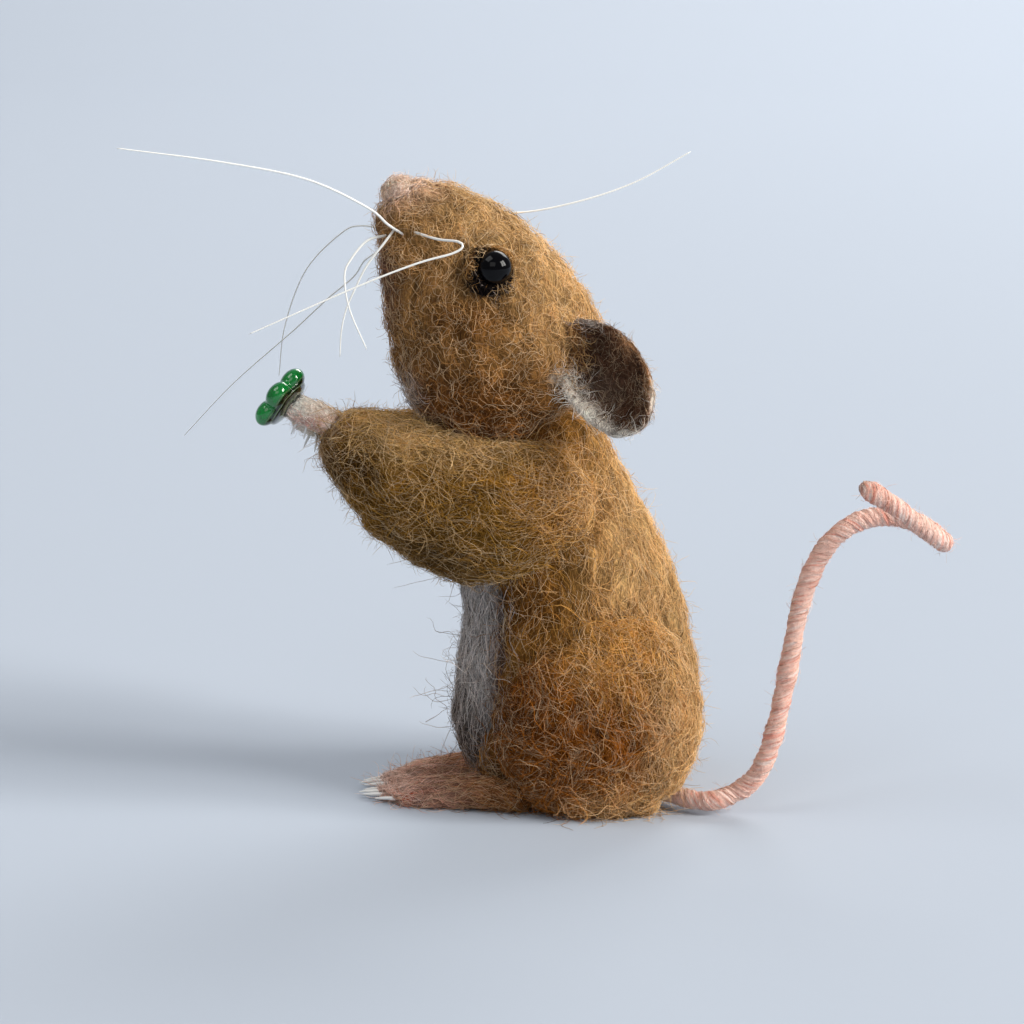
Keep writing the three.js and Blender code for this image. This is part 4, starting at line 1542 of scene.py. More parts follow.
    def haunch(self, side: str, y: float, seed: int) -> None:
        """One haunch, whose wool sweeps over its top and down, with painted light on its top, its back and
        its rump and painted shade low at its front. It is y millimetres from the middle.

        Args:
            side: left or right.
            y: how far it is from the middle, in millimetres.
            seed: of its patterns.
        """
        paint = painted(
            Shade.THIGH,
            # Painted light on the haunch's top
            Patch(Shade.THIGH_PALE, (12, y, 25), (17, 16, 10), 0.9),
            # Painted light on the haunch's back
            Patch(Shade.BACK, (20, y, 14), (9, 16, 20), 0.9),
            # Painted shade low at the haunch's front
            Patch(Shade.THIGH_DEEP, (-5, y, 12), (7, 16, 16), 0.8),
            # Deeper brown wool in the haunch's middle
            Patch(Shade.THIGH_DEEP, (5, y, 11), (8, 12, 6), 0.35),
            # Painted light on the rump, at the haunch's foot
            Patch(Shade.RUMP, (12, y, 3), (12, 14, 5), 0.7),
            seed=seed,
        )
        whirls = (Whirl((6, 13), 13.0, 0.75), Whirl((-5, 8), 6.0, -0.8))
        lie = Lie((0.05, -1), whirls, ripple=0.7, wave=9, seed=seed + 100)
        coats = [
            COMBED.of(3500),
            CURLY.of(1250),
            WISPY.of(700),
            FUZZ.of(2200),
            TRAILING.of(240, below=3.5),
            CURLY.of(
                330, length=(5.0, 10.0), loft=1.3, lift=1.4, pale=0.3, spot=(-5.0, 1.3 * y, 7.5), reach=8.0
            ),
        ]
        self.add(FeltForm(f"{side}_haunch", "body", "brown_wool", paint, lie, coats, seed, under=("torso",)))

    def arm(self, side: str, sign: int, seed: int) -> None:
        """One arm, whose wool lies along it, with painted light on its top and at its back end and painted
        shade on its underside and under the paw.

        Args:
            side: left or right.
            sign: -1 for the left side, 1 for the right.
            seed: of its patterns.
        """
        y = 11.0 * sign
        paint = painted(
            Shade.ARM,
            # Painted light on the arm's top
            Patch(Shade.ARM_TOP, (-14, y, 57), (24, 12, 9), 0.95),
            # Painted shade on the arm's underside
            Patch(Shade.ARM_GREY, (-20, y, 36), (20, 14, 8), 0.7),
            Patch(Shade.SHOULDER, (4, y, 46), (11, 14, 15), 0.95),
            # Painted light at the arm's back end, by the shoulder
            Patch(Shade.BACK, (9, y, 46), (8, 14, 16), 0.8),
            # Painted shade under the paw
            Patch(Shade.ARM_DEEP, (-28, y * 0.7, 50), (8, 12, 6), 0.85),
            Patch(Shade.SNOUT, (-31, y * 0.5, 55), (3.5, 9, 4), 0.6),
            seed=seed,
        )
        whirl = Whirl((4, 44), 8.0, 0.6)
        lie = Lie((0.96, -0.27), (whirl,), ripple=0.55, wave=11, out=0.15 * sign, seed=seed + 100)
        coats = [
            COMBED.of(3700),
            CURLY.of(1350),
            CURLY.of(420, loft=1.3, lift=0.8, pale=0.4, spot=(8.0, 1.15 * y, 46.0), reach=9.0),
            WISPY.of(750),
            TRAILING.of(150, length=(2.5, 5.5), joints=8, spot=(-32.0, 0.5 * y, 54.0), reach=5.0),
            TRAILING.of(260, length=(2.5, 6.5), joints=7, pale=0.35, spot=(-8.0, y, 57.0), reach=11.0),
            FUZZ.of(2800, length=(0.8, 3.4)),
        ]
        under = ("head", "torso")
        self.add(FeltForm(f"{side}_arm", "arms", "arm_wool", paint, lie, coats, seed, under=under))

    def paw(self, side: str, seed: int) -> None:
        """One pink paw, with a coral streak on the left one.

        Args:
            side: left or right.
            seed: of its patterns.
        """
        coral = Patch(Shade.CORAL, (-31.6, -5.2, 55.6), (5, 2.0, 1.6), 0.55)
        self.add(FeltForm(
            f"{side}_paw", "arms", "pink_wool", painted(Shade.PAW, coral, seed=seed, mottle=0.15),
            Lie((-0.85, 0.4), ripple=0.3, wave=5),
            [
                COMBED.of(560, length=(1.6, 3.6), radius=0.036, loft=0.2, lift=0.3, dark=0.03),
                WISPY.of(200, length=(1.0, 2.8), radius=0.022),
            ],
            seed, voxel=0.25, lumps=0.1, lump_size=1.4, swell=0.02, depth=1.0, locks=0.1, felt=PALE_FELT,
        ))

    def foot(self, side: str, y: float, seed: int) -> None:
        """One hind foot: brown at the heel, pink-grey to the toes. It is y millimetres from the middle.

        Args:
            side: left or right.
            y: how far it is from the middle, in millimetres.
            seed: of its patterns.
        """
        paint = painted(
            Shade.FOOT,
            Patch(Shade.HEEL, (-4, y, 2), (11, 9, 8), 1.0),
            Patch(Shade.TOE, (-22, y * 0.6, 1), (8, 9, 4), 0.9),
            Patch(Shade.ORANGE, (-19.2, -6.6, 1.4), (1.3, 1.6, 1.6), 0.9),
            seed=seed,
        )
        self.add(FeltForm(
            f"{side}_foot", "body", "foot_wool", paint, Lie((-1, 0.05), ripple=0.3, wave=7, seed=seed + 100),
            [
                COMBED.of(1500, length=(2.4, 5.4), loft=0.3, crimp=0.3, stray=0.16, lift=0.3, pale=0.35),
                WISPY.of(300, length=(1.5, 4.4), stray=0.8),
                TRAILING.of(160, length=(2.0, 6.0), below=1.2),
            ],
            seed, voxel=0.3, lumps=0.1, lump_size=2.4, smooth=2, swell=0.0,
            under=(f"{side}_haunch", "torso"), felt=FINE_FELT,
        ))

    def ears(self) -> None:
        """The two cupped ears: dark inside, a pale root and lower rim, a tan outer edge."""
        for side, seed in (("left", 61), ("right", 71)):
            low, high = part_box(f"{side}_ear")
            middle, half = (low + high) / 2 / MM, (high - low) / 2 / MM

            def spot(shade: Shade, x: float, z: float, reach: tuple[float, float], strength: float) -> Patch:
                """A patch at a share of the ear's half width and half height."""
                at = (middle.x + x * half.x, middle.y, middle.z + z * half.z)
                return Patch(shade, at, (reach[0], 9.0, reach[1]), strength)

            paint = painted(
                Shade.EAR_INSIDE,
                spot(Shade.EAR_GREY, -0.2, -0.3, (5.0, 4.0), 0.3),
                spot(Shade.HEAD, -0.9, 0.55, (3.2, 5.0), 0.9),
                spot(Shade.EAR_RIM, 0.98, -0.1, (1.5, 5.5), 0.7),
                spot(Shade.EAR_WHITE, 1.02, -0.35, (1.1, 4.0), 0.9),
                spot(Shade.EAR_WHITE, -0.35, 0.98, (3.0, 1.2), 0.35),
                spot(Shade.EAR_RIM, 0.55, 0.6, (2.6, 2.2), 0.5),
                *(spot(Shade.EAR_WHITE, x, z, reach, 1.0) for x, z, reach in self.PALE_RIM),
                seed=seed,
            )
            root = (low.x / MM + 0.8, middle.y, middle.z)
            whirl = Whirl((middle.x, middle.z), 7.0, 0.5)
            swirl = Lie((0.3, -1), (whirl,), ripple=0.8, wave=6, seed=seed + 100)
            self.add(FeltForm(
                f"{side}_ear", "body", "ear_wool", paint, swirl,
                [
                    COMBED.of(1600, length=(1.6, 3.6), loft=0.25, crimp=0.6, stray=0.5, pale=0.12),
                    CURLY.of(420, length=(2.4, 5.6), radius=0.03, loft=0.4, crimp=0.8, stray=0.9, pale=0.5),
                    WISPY.of(300, length=(1.2, 3.0), radius=0.022),
                    FUZZ.of(900, length=(0.8, 2.0)),
                    WISPY.of(170, radius=0.03, stray=1.0, dark=0.0, spot=root, reach=4.5),
                ],
                seed, voxel=0.32, lumps=0.12, lump_size=4.0, smooth=5, swell=0.05, depth=1.0,
                under=("head",), felt=FINE_FELT,
            ))

    def make(self) -> None:
        """Makes every skin, then the fibres, and joins them to the frame."""
        self.head()
        self.nose()
        self.eye_surrounds()
        self.torso()
        self.bib()
        self.limbs()
        self.ears()
        for form in self.forms.values():
            form.make_skin(self.nodes[form.node])
        skins = {name: form.surface for name, form in self.forms.items()}
        body = Surface.joined([skins[name] for name, form in self.forms.items() if form.body == "body"])
        arms = [skins[name] for name, form in self.forms.items() if form.body == "arms"]
        arms = Surface.joined([*arms, skins["torso"]])
        for form in self.forms.values():
            faces = form.grow(self.forms, body if form.body == "body" else arms)
            form.finish()
            LOG.info("%s: skin %d faces, fibres %d faces", form.node, len(form.skin.data.polygons), faces)


# Tail


def curve_through(points: Sequence[tuple[float, float, float]], spacing: float) -> Array:
    """Runs a smooth line through points, in millimetres, and returns places on it in metres.

    Args:
        points: places that the line runs through, in millimetres.
        spacing: the distance between the places returned, in millimetres.

    Returns:
        Places on the line, in metres.
    """
    given = np.array(points, float)
    padded = np.vstack([2 * given[0] - given[1], given, 2 * given[-1] - given[-2]])
    places = []
    for before, first, second, after in zip(padded, padded[1:], padded[2:], padded[3:]):
        steps = max(2, int(np.linalg.norm(second - first) / spacing))
        for step in range(steps):
            share = step / steps
            places.append(0.5 * (
                2 * first + (second - before) * share
                + (2 * before - 5 * first + 4 * second - after) * share ** 2
                + (3 * first - before - 3 * second + after) * share ** 3
            ))
    places.append(given[-1])
    return np.array(places) * MM


def carried_frames(places: Array) -> tuple[Array, Array, Array]:
    """Gives the way along a line, and two directions across it that don't twist.

    Args:
        places: places on the line.

    Returns:
        The way along it, and two directions across it.
    """
    ways = unit(np.gradient(places, axis=0))
    across = [unit(np.cross(ways[0], [0.0, 0.0, 1.0]))]
    for way in ways[1:]:
        across.append(unit(across[-1] - way * (across[-1] @ way)))
    side = np.array(across)
    return ways, side, np.cross(ways, side)


def lofted(name: str, middles: Array, sides: Array, lifts: Array, radii: Array) -> bpy.types.Object:
    """Makes a closed tube whose radius is given for each ring and each side.

    Args:
        name: the piece's name.
        middles: the middle of each ring.
        sides: the first direction across it.
        lifts: the second direction across it.
        radii: one row for each ring, one column for each side.

    Returns:
        The tube, with a middle point at each end.
    """
    rings, around = radii.shape
    angles = np.arange(around) * 2.0 * math.pi / around
    ring = (
        middles[:, None]
        + sides[:, None] * (np.cos(angles)[None] * radii)[..., None]
        + lifts[:, None] * (np.sin(angles)[None] * radii)[..., None]
    ).reshape(-1, 3)
    points = np.vstack([ring, middles[:1], middles[-1:]])
    faces = []
    for corner in range(around):
        after = (corner + 1) % around
        start = np.arange(rings - 1) * around
        faces.append(np.stack([start + corner, start + after, start + around + after], axis=1))
        faces.append(np.stack([start + corner, start + around + after, start + around + corner], axis=1))
        end = (rings - 1) * around
        faces.append(np.array([[len(ring), after, corner], [end + corner, end + after, len(ring) + 1]]))
    return mesh_object(name, points, np.concatenate(faces))


# Points looked up at once, the least height of a fibre, and how much of the winding's other colours shows
POINTS_AT_ONCE = 2000
TAIL_FIBRES_FROM = 0.05 * MM
WHITE_THREADS = 0.7
CORAL_THREADS = 0.6
DARK_TIP = 0.5


@dataclass
class WoundTail:
    """The tail: pink wool wound slantwise round a stiff wire. Sizes are in millimetres.

    Args:
        radius: half its thickness.
        pitch: the length of one turn of wool.
        strands: how many strands are wound side by side.
        ridge: how far a strand rises.
        lumps: how far the winding is uneven, in long waves and in short ones.
        lump_sizes: the lengths of those waves.
        groove: how deep the grooves lie between strands, against the ridge.
        toe: the length over which it rounds off at its tip.
        toe_end: how thick the very tip is, against the rest.
        heel: the length over which it rounds off at its root.
        heel_cut: how much thinner the very root is.
        tip_dark: the length of the darker tip.
        sides: points round it.
        spacing: the distance between two rings of points.
        seed: of its patterns and its random numbers.
        route: places that its middle runs through.
    """

    radius: float = 1.3
    pitch: float = 4.4
    strands: int = 4
    ridge: float = 0.11
    lumps: tuple[float, float] = (0.09, 0.05)
    lump_sizes: tuple[float, float] = (5.0, 2.2)
    groove: float = 0.6
    toe: float = 2.6
    toe_end: float = 0.35
    heel: float = 1.2
    heel_cut: float = 0.9
    tip_dark: float = 0.9
    sides: int = 22
    spacing: float = 0.22
    seed: int = 81
    route: tuple[tuple[float, float, float], ...] = (
        (13.6, -3.4, 2.4), (17.0, -6.0, 2.2), (20.2, -8.6, 1.9), (23.6, -9.9, 2.0),
        (26.8, -9.3, 3.0), (29.4, -9.4, 5.1), (31.1, -9.9, 8.6), (32.3, -10.0, 12.8),
        (33.2, -10.0, 17.4), (34.2, -10.0, 23.0), (35.1, -10.0, 28.8), (36.6, -9.8, 34.2),
        (39.0, -9.0, 38.6), (42.2, -8.0, 41.3), (45.6, -7.4, 42.4), (49.2, -7.3, 42.4),
        (52.6, -8.2, 41.3), (55.0, -10.4, 39.7), (54.2, -12.6, 40.6), (51.2, -14.0, 43.0),
        (48.0, -15.0, 45.6), (43.0, -16.0, 49.0),
    )

    def radii(self, along: Array) -> Array:
        """Gives the winding's radius, ridged by its strands and rounded off at both ends.

        Args:
            along: the length up to each ring, in millimetres.

        Returns:
            One row for each ring, one column for each side, in millimetres.
        """
        angles = np.arange(self.sides) * 2.0 * math.pi / self.sides
        twist = self.strands * (along[:, None] / self.pitch * 2.0 * math.pi - angles[None])
        line = np.stack([along * MM, 0 * along, 0 * along], axis=1)
        lumpy = self.lumps[0] * Waves(self.seed, self.lump_sizes[0]).at(line)
        lumpy += self.lumps[1] * Waves(self.seed + 1, self.lump_sizes[1]).at(line)
        radii = self.radius + lumpy[:, None] + self.ridge * (np.abs(np.sin(twist / 2.0)) - self.groove)
        toe = np.clip((along[-1] - along) / self.toe, 0.0, 1.0)
        heel = np.clip(along / self.heel, 0.0, 1.0)
        radii = radii * (self.toe_end + (1.0 - self.toe_end) * np.sqrt(1.0 - (1.0 - toe[:, None]) ** 2))
        return radii * np.sqrt(1.0 - (1.0 - heel[:, None]) ** 2 * self.heel_cut)

    def make(self) -> None:
        """Builds the wound wool and its fuzz, which ride on the tail."""
        places = curve_through(self.route, self.spacing)
        ways, sides, lifts = carried_frames(places)
        along = np.concatenate([[0.0], np.cumsum(np.linalg.norm(np.diff(places, axis=0), axis=1))]) / MM
        tube = lofted("tail_winding", places, sides, lifts, self.radii(along) * MM)
        low = vertex_places(tube)
        low[:, 2] = np.maximum(low[:, 2], 0.0)
        set_vertex_places(tube, low)
        paint = self.paint(places, along)
        set_colours(tube, paint(vertex_places(tube)))
        dress(tube, WRAP)
        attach(tube, "tail")
        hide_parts("tail_wrap")
        self.fuzz(Surface.of(tube), places, ways, paint)

    def nearest_ring(self, places: Array, points: Array) -> Array:
        """Finds the nearest place on the tail's line for each point.

        Args:
            places: places on the line, in metres.
            points: places near it, in metres.

        Returns:
            The number of the nearest place on the line.
        """
        best = []
        for part in np.array_split(points, 1 + len(points) // POINTS_AT_ONCE):
            best.append(((part[:, None] - places[None]) ** 2).sum(axis=2).argmin(axis=1))
        return np.concatenate(best)

    def paint(self, places: Array, along: Array) -> Paint:
        """Colours the winding: pink, with whiter and coral turns.

        Args:
            places: places on the tail's line.
            along: the length up to each, in millimetres.

        Returns:
            A function that gives colours at points in metres.
        """
        sides = carried_frames(places)

        def colour(points: Array) -> Array:
            """Gives the winding's colours.

            Args:
                points: places in metres.

            Returns:
                Colours in linear light.
            """
            ring = self.nearest_ring(places, points)
            away = points - places[ring]
            angle = np.arctan2((away * sides[2][ring]).sum(axis=1), (away * sides[1][ring]).sum(axis=1))
            spin = angle - along[ring] / self.pitch * 2.0 * math.pi
            wound = np.stack([np.cos(spin), np.sin(spin), 0.12 * along[ring]], axis=1) * self.radius * MM
            thread = Waves(self.seed + 5, 1.0).at(wound) + 0.7 * Waves(self.seed + 6, 0.5).at(wound)
            band = Waves(self.seed + 4, 7.0).at(places)[ring]
            white = WHITE_THREADS * smooth_step(thread + 0.3 * band)
            coral = CORAL_THREADS * smooth_step(-thread - 0.2 + 0.6 * band)
            base = np.tile(Shade.TAIL.light, (len(points), 1))
            base += (Shade.TAIL_WHITE.light - base) * white[:, None]
            base += (Shade.CORAL.light - base) * coral[:, None]
            tip = smooth_step((along[ring] - along[-1] + self.tip_dark) / self.tip_dark)
            return base + (Shade.DUSK.light * 2.0 - base) * (DARK_TIP * tip)[:, None]

        return colour

    def fuzz(self, surface: Surface, places: Array, ways: Array, paint: Paint) -> None:
        """Lays fine fibres round the winding, and lets a few stand off.

        Args:
            surface: the winding.
            places: places on the tail's line.
            ways: the way along it there.
            paint: the winding's colours.
        """

        def flow(points: Array, normals: Array) -> Array:
            """Gives the way that the wound fibres lie at points in metres."""
            way = ways[self.nearest_ring(places, points)]
            return np.cross(way, normals) + self.pitch / (2.0 * math.pi * self.radius) * way

        coats = (
            COMBED.of(
                2300, length=(2.0, 4.0), radius=0.04, lift=0.05, loft=0.07, crimp=0.08, curl=0.02, stray=0.1
            ),
            CURLY.of(
                500, length=(1.5, 3.5), joints=5, radius=0.024, lift=0.5, loft=0.15, pale=0.7, dark=0.0
            ),
            WISPY.of(260, length=(0.8, 2.4), radius=0.02, lift=0.8, pale=0.8),
        )
        groups = []
        for number, coat in enumerate(coats):
            rng = np.random.default_rng(self.seed * 10 + number)
            roots, normals = surface.scatter(coat.count, rng)
            strands = grown(surface, roots, normals, coat, flow, paint, self.seed + number)
            groups.append(kept_above(strands, TAIL_FIBRES_FROM))
        fibres = fibre_object("tail_fibres", groups)
        dress(fibres, FIBRE)
        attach(fibres, "tail")
        LOG.info("tail: fibres %d faces", len(fibres.data.polygons))


# Wires, whiskers and claws


@dataclass
class Whiskers:
    """The stiff white strands in the snout, each thinner to its tip. Sizes are in millimetres.

    Args:
        root: half a strand's thickness at its root.
        tip: the same at its tip.
        fine: the strands that are finer.
        fineness: how thick those are, against the others.
        ends: how much the very ends are drawn in, at the root and at the tip.
        sides: points round a strand.
        spacing: the distance between two rings of points.
        routes: places that each strand runs through.
    """

    root: float = 0.19
    tip: float = 0.09
    fine: tuple[str, ...] = ("right_whisker_1", "right_whisker_2")
    fineness: float = 0.7
    ends: tuple[float, float] = (0.6, 0.5)
    sides: int = 10
    spacing: float = 0.5
    routes: dict[str, tuple[tuple[float, float, float], ...]] = field(default_factory=lambda: {
        "left_whisker_1": (
            (-18.04, -8.5, 81.46), (-19.74, -9.17, 82.68), (-21.54, -9.87, 83.98), (-24.34, -10.77, 86.48),
            (-32.44, -13.07, 90.68), (-43.64, -16.17, 93.48), (-57.14, -19.97, 95.88),
        ),
        "left_whisker_2": (
            (-19.55, -7.7, 84.46), (-20.8, -8.66, 82.93), (-22.1, -9.66, 81.33),
            (-24.4, -10.36, 78.43), (-25.9, -10.86, 75.53), (-27.2, -11.46, 72.63),
            (-27.9, -12.16, 69.63), (-28.1, -12.96, 66.23),
        ),
        "left_whisker_3": (
            (-19.89, -6.81, 82.59), (-21.84, -7.71, 82.14), (-24.44, -8.91, 81.54), (-26.64, -10.21, 79.14),
            (-27.44, -11.11, 77.04), (-26.74, -12.81, 72.84), (-24.34, -15.01, 67.64),
        ),
        "left_whisker_4": (
            (-19.48, -8.7, 83.2), (-17.61, -9.8, 82.82), (-14.71, -11.5, 82.22),
            (-12.01, -12.8, 82.12), (-11.31, -13.3, 81.52), (-12.71, -13.6, 80.62),
            (-17.61, -14.2, 79.32), (-25.41, -15.8, 76.52), (-40.01, -19.3, 70.62),
        ),
        "right_whisker_1": (
            (-20.4, -3.08, 81.63), (-22.03, -1.6, 81.73), (-25.33, 1.4, 81.93), (-28.33, 2.9, 80.73),
            (-33.53, 5.2, 75.03), (-36.73, 7.8, 66.63), (-37.83, 10.0, 58.83),
        ),
        "right_whisker_2": (
            (-20.59, -3.14, 80.61), (-22.21, -2.21, 79.45), (-25.01, -0.61, 77.45), (-26.81, 2.99, 74.45),
            (-30.51, 4.79, 71.05), (-35.41, 6.99, 66.15), (-44.41, 10.69, 57.65), (-51.81, 13.99, 49.35),
        ),
        "right_whisker_3": (
            (-19.64, -0.37, 84.34), (-18.11, 1.2, 84.21), (-13.61, 5.8, 83.81), (-4.61, 8.4, 82.61),
            (3.79, 10.2, 83.71), (12.49, 12.6, 86.21), (20.69, 15.0, 90.31),
        ),
    })

    def make(self) -> None:
        """Builds each whisker, which rides on the body."""
        for name, route in self.routes.items():
            places = curve_through(route, self.spacing)
            _, sides, lifts = carried_frames(places)
            share = np.linspace(0.0, 1.0, len(places))
            thin = self.root + (self.tip - self.root) * share
            if name in self.fine:
                thin = thin * self.fineness
            thin[[0, -1]] *= self.ends
            radii = np.tile(thin[:, None], (1, self.sides)) * MM
            strand = lofted(f"{name}_strand", places, sides, lifts, radii)
            dress(strand, WHISKER_WHITE)
            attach(strand, "body")
            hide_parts(name)
            LOG.info("%s: %d faces", name, len(strand.data.polygons))


# The distance between two rings of points on a short wire, in millimetres, and the points round it
WIRE_SPACING = 0.2
WIRE_SIDES = 12


def tapered_wire(
    name: str, points: Sequence[tuple[float, float, float]], radii: Sequence[float]
) -> bpy.types.Object:
    """Makes a short wire through points, with a radius at each of them, in millimetres.

    Args:
        name: the piece's name.
        points: its middle line, in millimetres.
        radii: half its thickness at even steps along it, in millimetres.

    Returns:
        The wire.
    """
    places = curve_through(points, WIRE_SPACING)
    _, sides, lifts = carried_frames(places)
    marks = np.linspace(0.0, 1.0, len(radii))
    thick = np.interp(np.linspace(0.0, 1.0, len(places)), marks, radii)
    return lofted(name, places, sides, lifts, np.tile(thick[:, None], (1, WIRE_SIDES)) * MM)


@dataclass
class Claws:
    """The bare white wire ends of toes and fingers. Sizes are in millimetres.

    Args:
        radius: half a toe wire's thickness.
        thin: half a finger wire's thickness.
        taper: shares of that at even steps along a claw.
        bend: how far along a claw its bend is, as a share.
        hook: how far up it bends there.
        end: the length of a wire that counts as its end.
        toe_way: roughly the way out of the wool of a toe.
        finger_way: the same for a finger.
    """

    radius: float = 0.3
    thin: float = 0.19
    taper: tuple[float, ...] = (0.8, 1.0, 1.0, 0.8, 0.3)
    bend: float = 0.6
    hook: float = 0.08
    end: float = 0.05
    toe_way: tuple[float, float, float] = (-1.0, 0.0, 0.0)
    finger_way: tuple[float, float, float] = (-0.2, 0.0, -1.0)

    def ends(self, node: bpy.types.Object, out: Array) -> tuple[Array, Array]:
        """Finds the two ends of a packed wire.

        Args:
            node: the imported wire.
            out: roughly the way out of the wool.

        Returns:
            The end in the wool and the outer end, in millimetres.
        """
        places = vertex_places(node) / MM
        middle = places.mean(axis=0)
        _, _, axes = np.linalg.svd(places - middle)
        reach = (places - middle) @ axes[0]
        first = places[reach < reach.min() + self.end].mean(axis=0)
        last = places[reach > reach.max() - self.end].mean(axis=0)
        return (last, first) if (last - first) @ out < 0 else (first, last)

    def make(self, nodes: dict[str, bpy.types.Object]) -> None:
        """Builds a tapered, slightly hooked claw for every packed wire end.

        Args:
            nodes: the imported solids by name.
        """
        for side in ("left", "right"):
            for number in range(1, 5):
                self.claw(nodes, f"{side}_toe_wire_{number}", "body", np.array(self.toe_way), self.radius)
            for number in range(1, 4):
                self.claw(nodes, f"{side}_paw_claw_{number}", "arms", np.array(self.finger_way), self.thin)

    def claw(
        self, nodes: dict[str, bpy.types.Object], name: str, body: str, out: Array, radius: float
    ) -> None:
        """Builds one claw in place of a packed wire end.

        Args:
            nodes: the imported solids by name.
            name: the wire that the claw stands for.
            body: the moving body that it rides on.
            out: roughly the way out of the wool.
            radius: half its thickness, in millimetres.
        """
        first, last = self.ends(nodes[name], out)
        middle = first + (last - first) * self.bend + np.array([0.0, 0.0, self.hook])
        line = [tuple(first), tuple(middle), tuple(last)]
        claw = tapered_wire(f"{name}_tip", line, [radius * share for share in self.taper])
        dress(claw, CLAW_WHITE)
        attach(claw, body)
        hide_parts(name)
        LOG.info("%s: %d faces", name, len(claw.data.polygons))


# Beads of glass


@dataclass
class Eyes:
    """Two polished black glass beads. Sizes are in millimetres.

    Args:
        radius: half a bead's width.
        proud: how far the bead stands out of the place of its solid.
        places: the middle of each solid.
        ways: the way out of the head there.
    """

    radius: float = 2.46
    proud: float = 0.5
    places: dict[str, tuple[float, float, float]] = field(default_factory=lambda: {
        "left_eye_bead": (-7.31, -11.46, 78.26),
        "right_eye_bead": (-11.83, 6.69, 78.26),
    })
    ways: dict[str, tuple[float, float, float]] = field(default_factory=lambda: {
        "left_eye_bead": (0.47, -0.87, 0.16),
        "right_eye_bead": (0.01, 0.99, 0.16),
    })

    def make(self) -> None:
        """Builds each bead where its solid is."""
        for name, place in self.places.items():
            middle = (Vector(place) + Vector(self.ways[name]) * self.proud) * MM
            select_nothing()
            bpy.ops.mesh.primitive_uv_sphere_add(
                segments=56, ring_count=32, radius=self.radius * MM, location=middle
            )
            bead = bpy.context.active_object
            settle(bead, f"{name}_glass")
            dress(bead, EYE_GLASS)
            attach(bead, "body")
            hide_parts(name)
            LOG.info("%s: %d faces", name, len(bead.data.polygons))


def select_nothing() -> None:
    """Deselects everything."""
    bpy.ops.object.select_all(action="DESELECT")


def settle(obj: bpy.types.Object, name: str) -> None:
    """Names an object, puts its place into its mesh and smooths its shading.

    Args:
        obj: the object.
        name: its new name.
    """
    select_only(obj)
    bpy.ops.object.transform_apply(location=True, rotation=True, scale=True)
    bpy.ops.object.shade_smooth()
    obj.name = name
    obj.data.name = name


# Flower bead


# The glass's colours in screen values, and the height and the streaks of its dark back
PETAL_GREEN = (10, 150, 62)
DARK_BACK = (20, 34, 16)
PALE_STREAK = (140, 148, 112)
BACK_UP_TO = 0.75 * MM
BACK_FADE = 0.5 * MM
STREAK_PITCH = 0.5 * MM
STREAK_BEND = 0.3 * MM
STREAK_POWER = 4.0
CLOUDING = 0.14


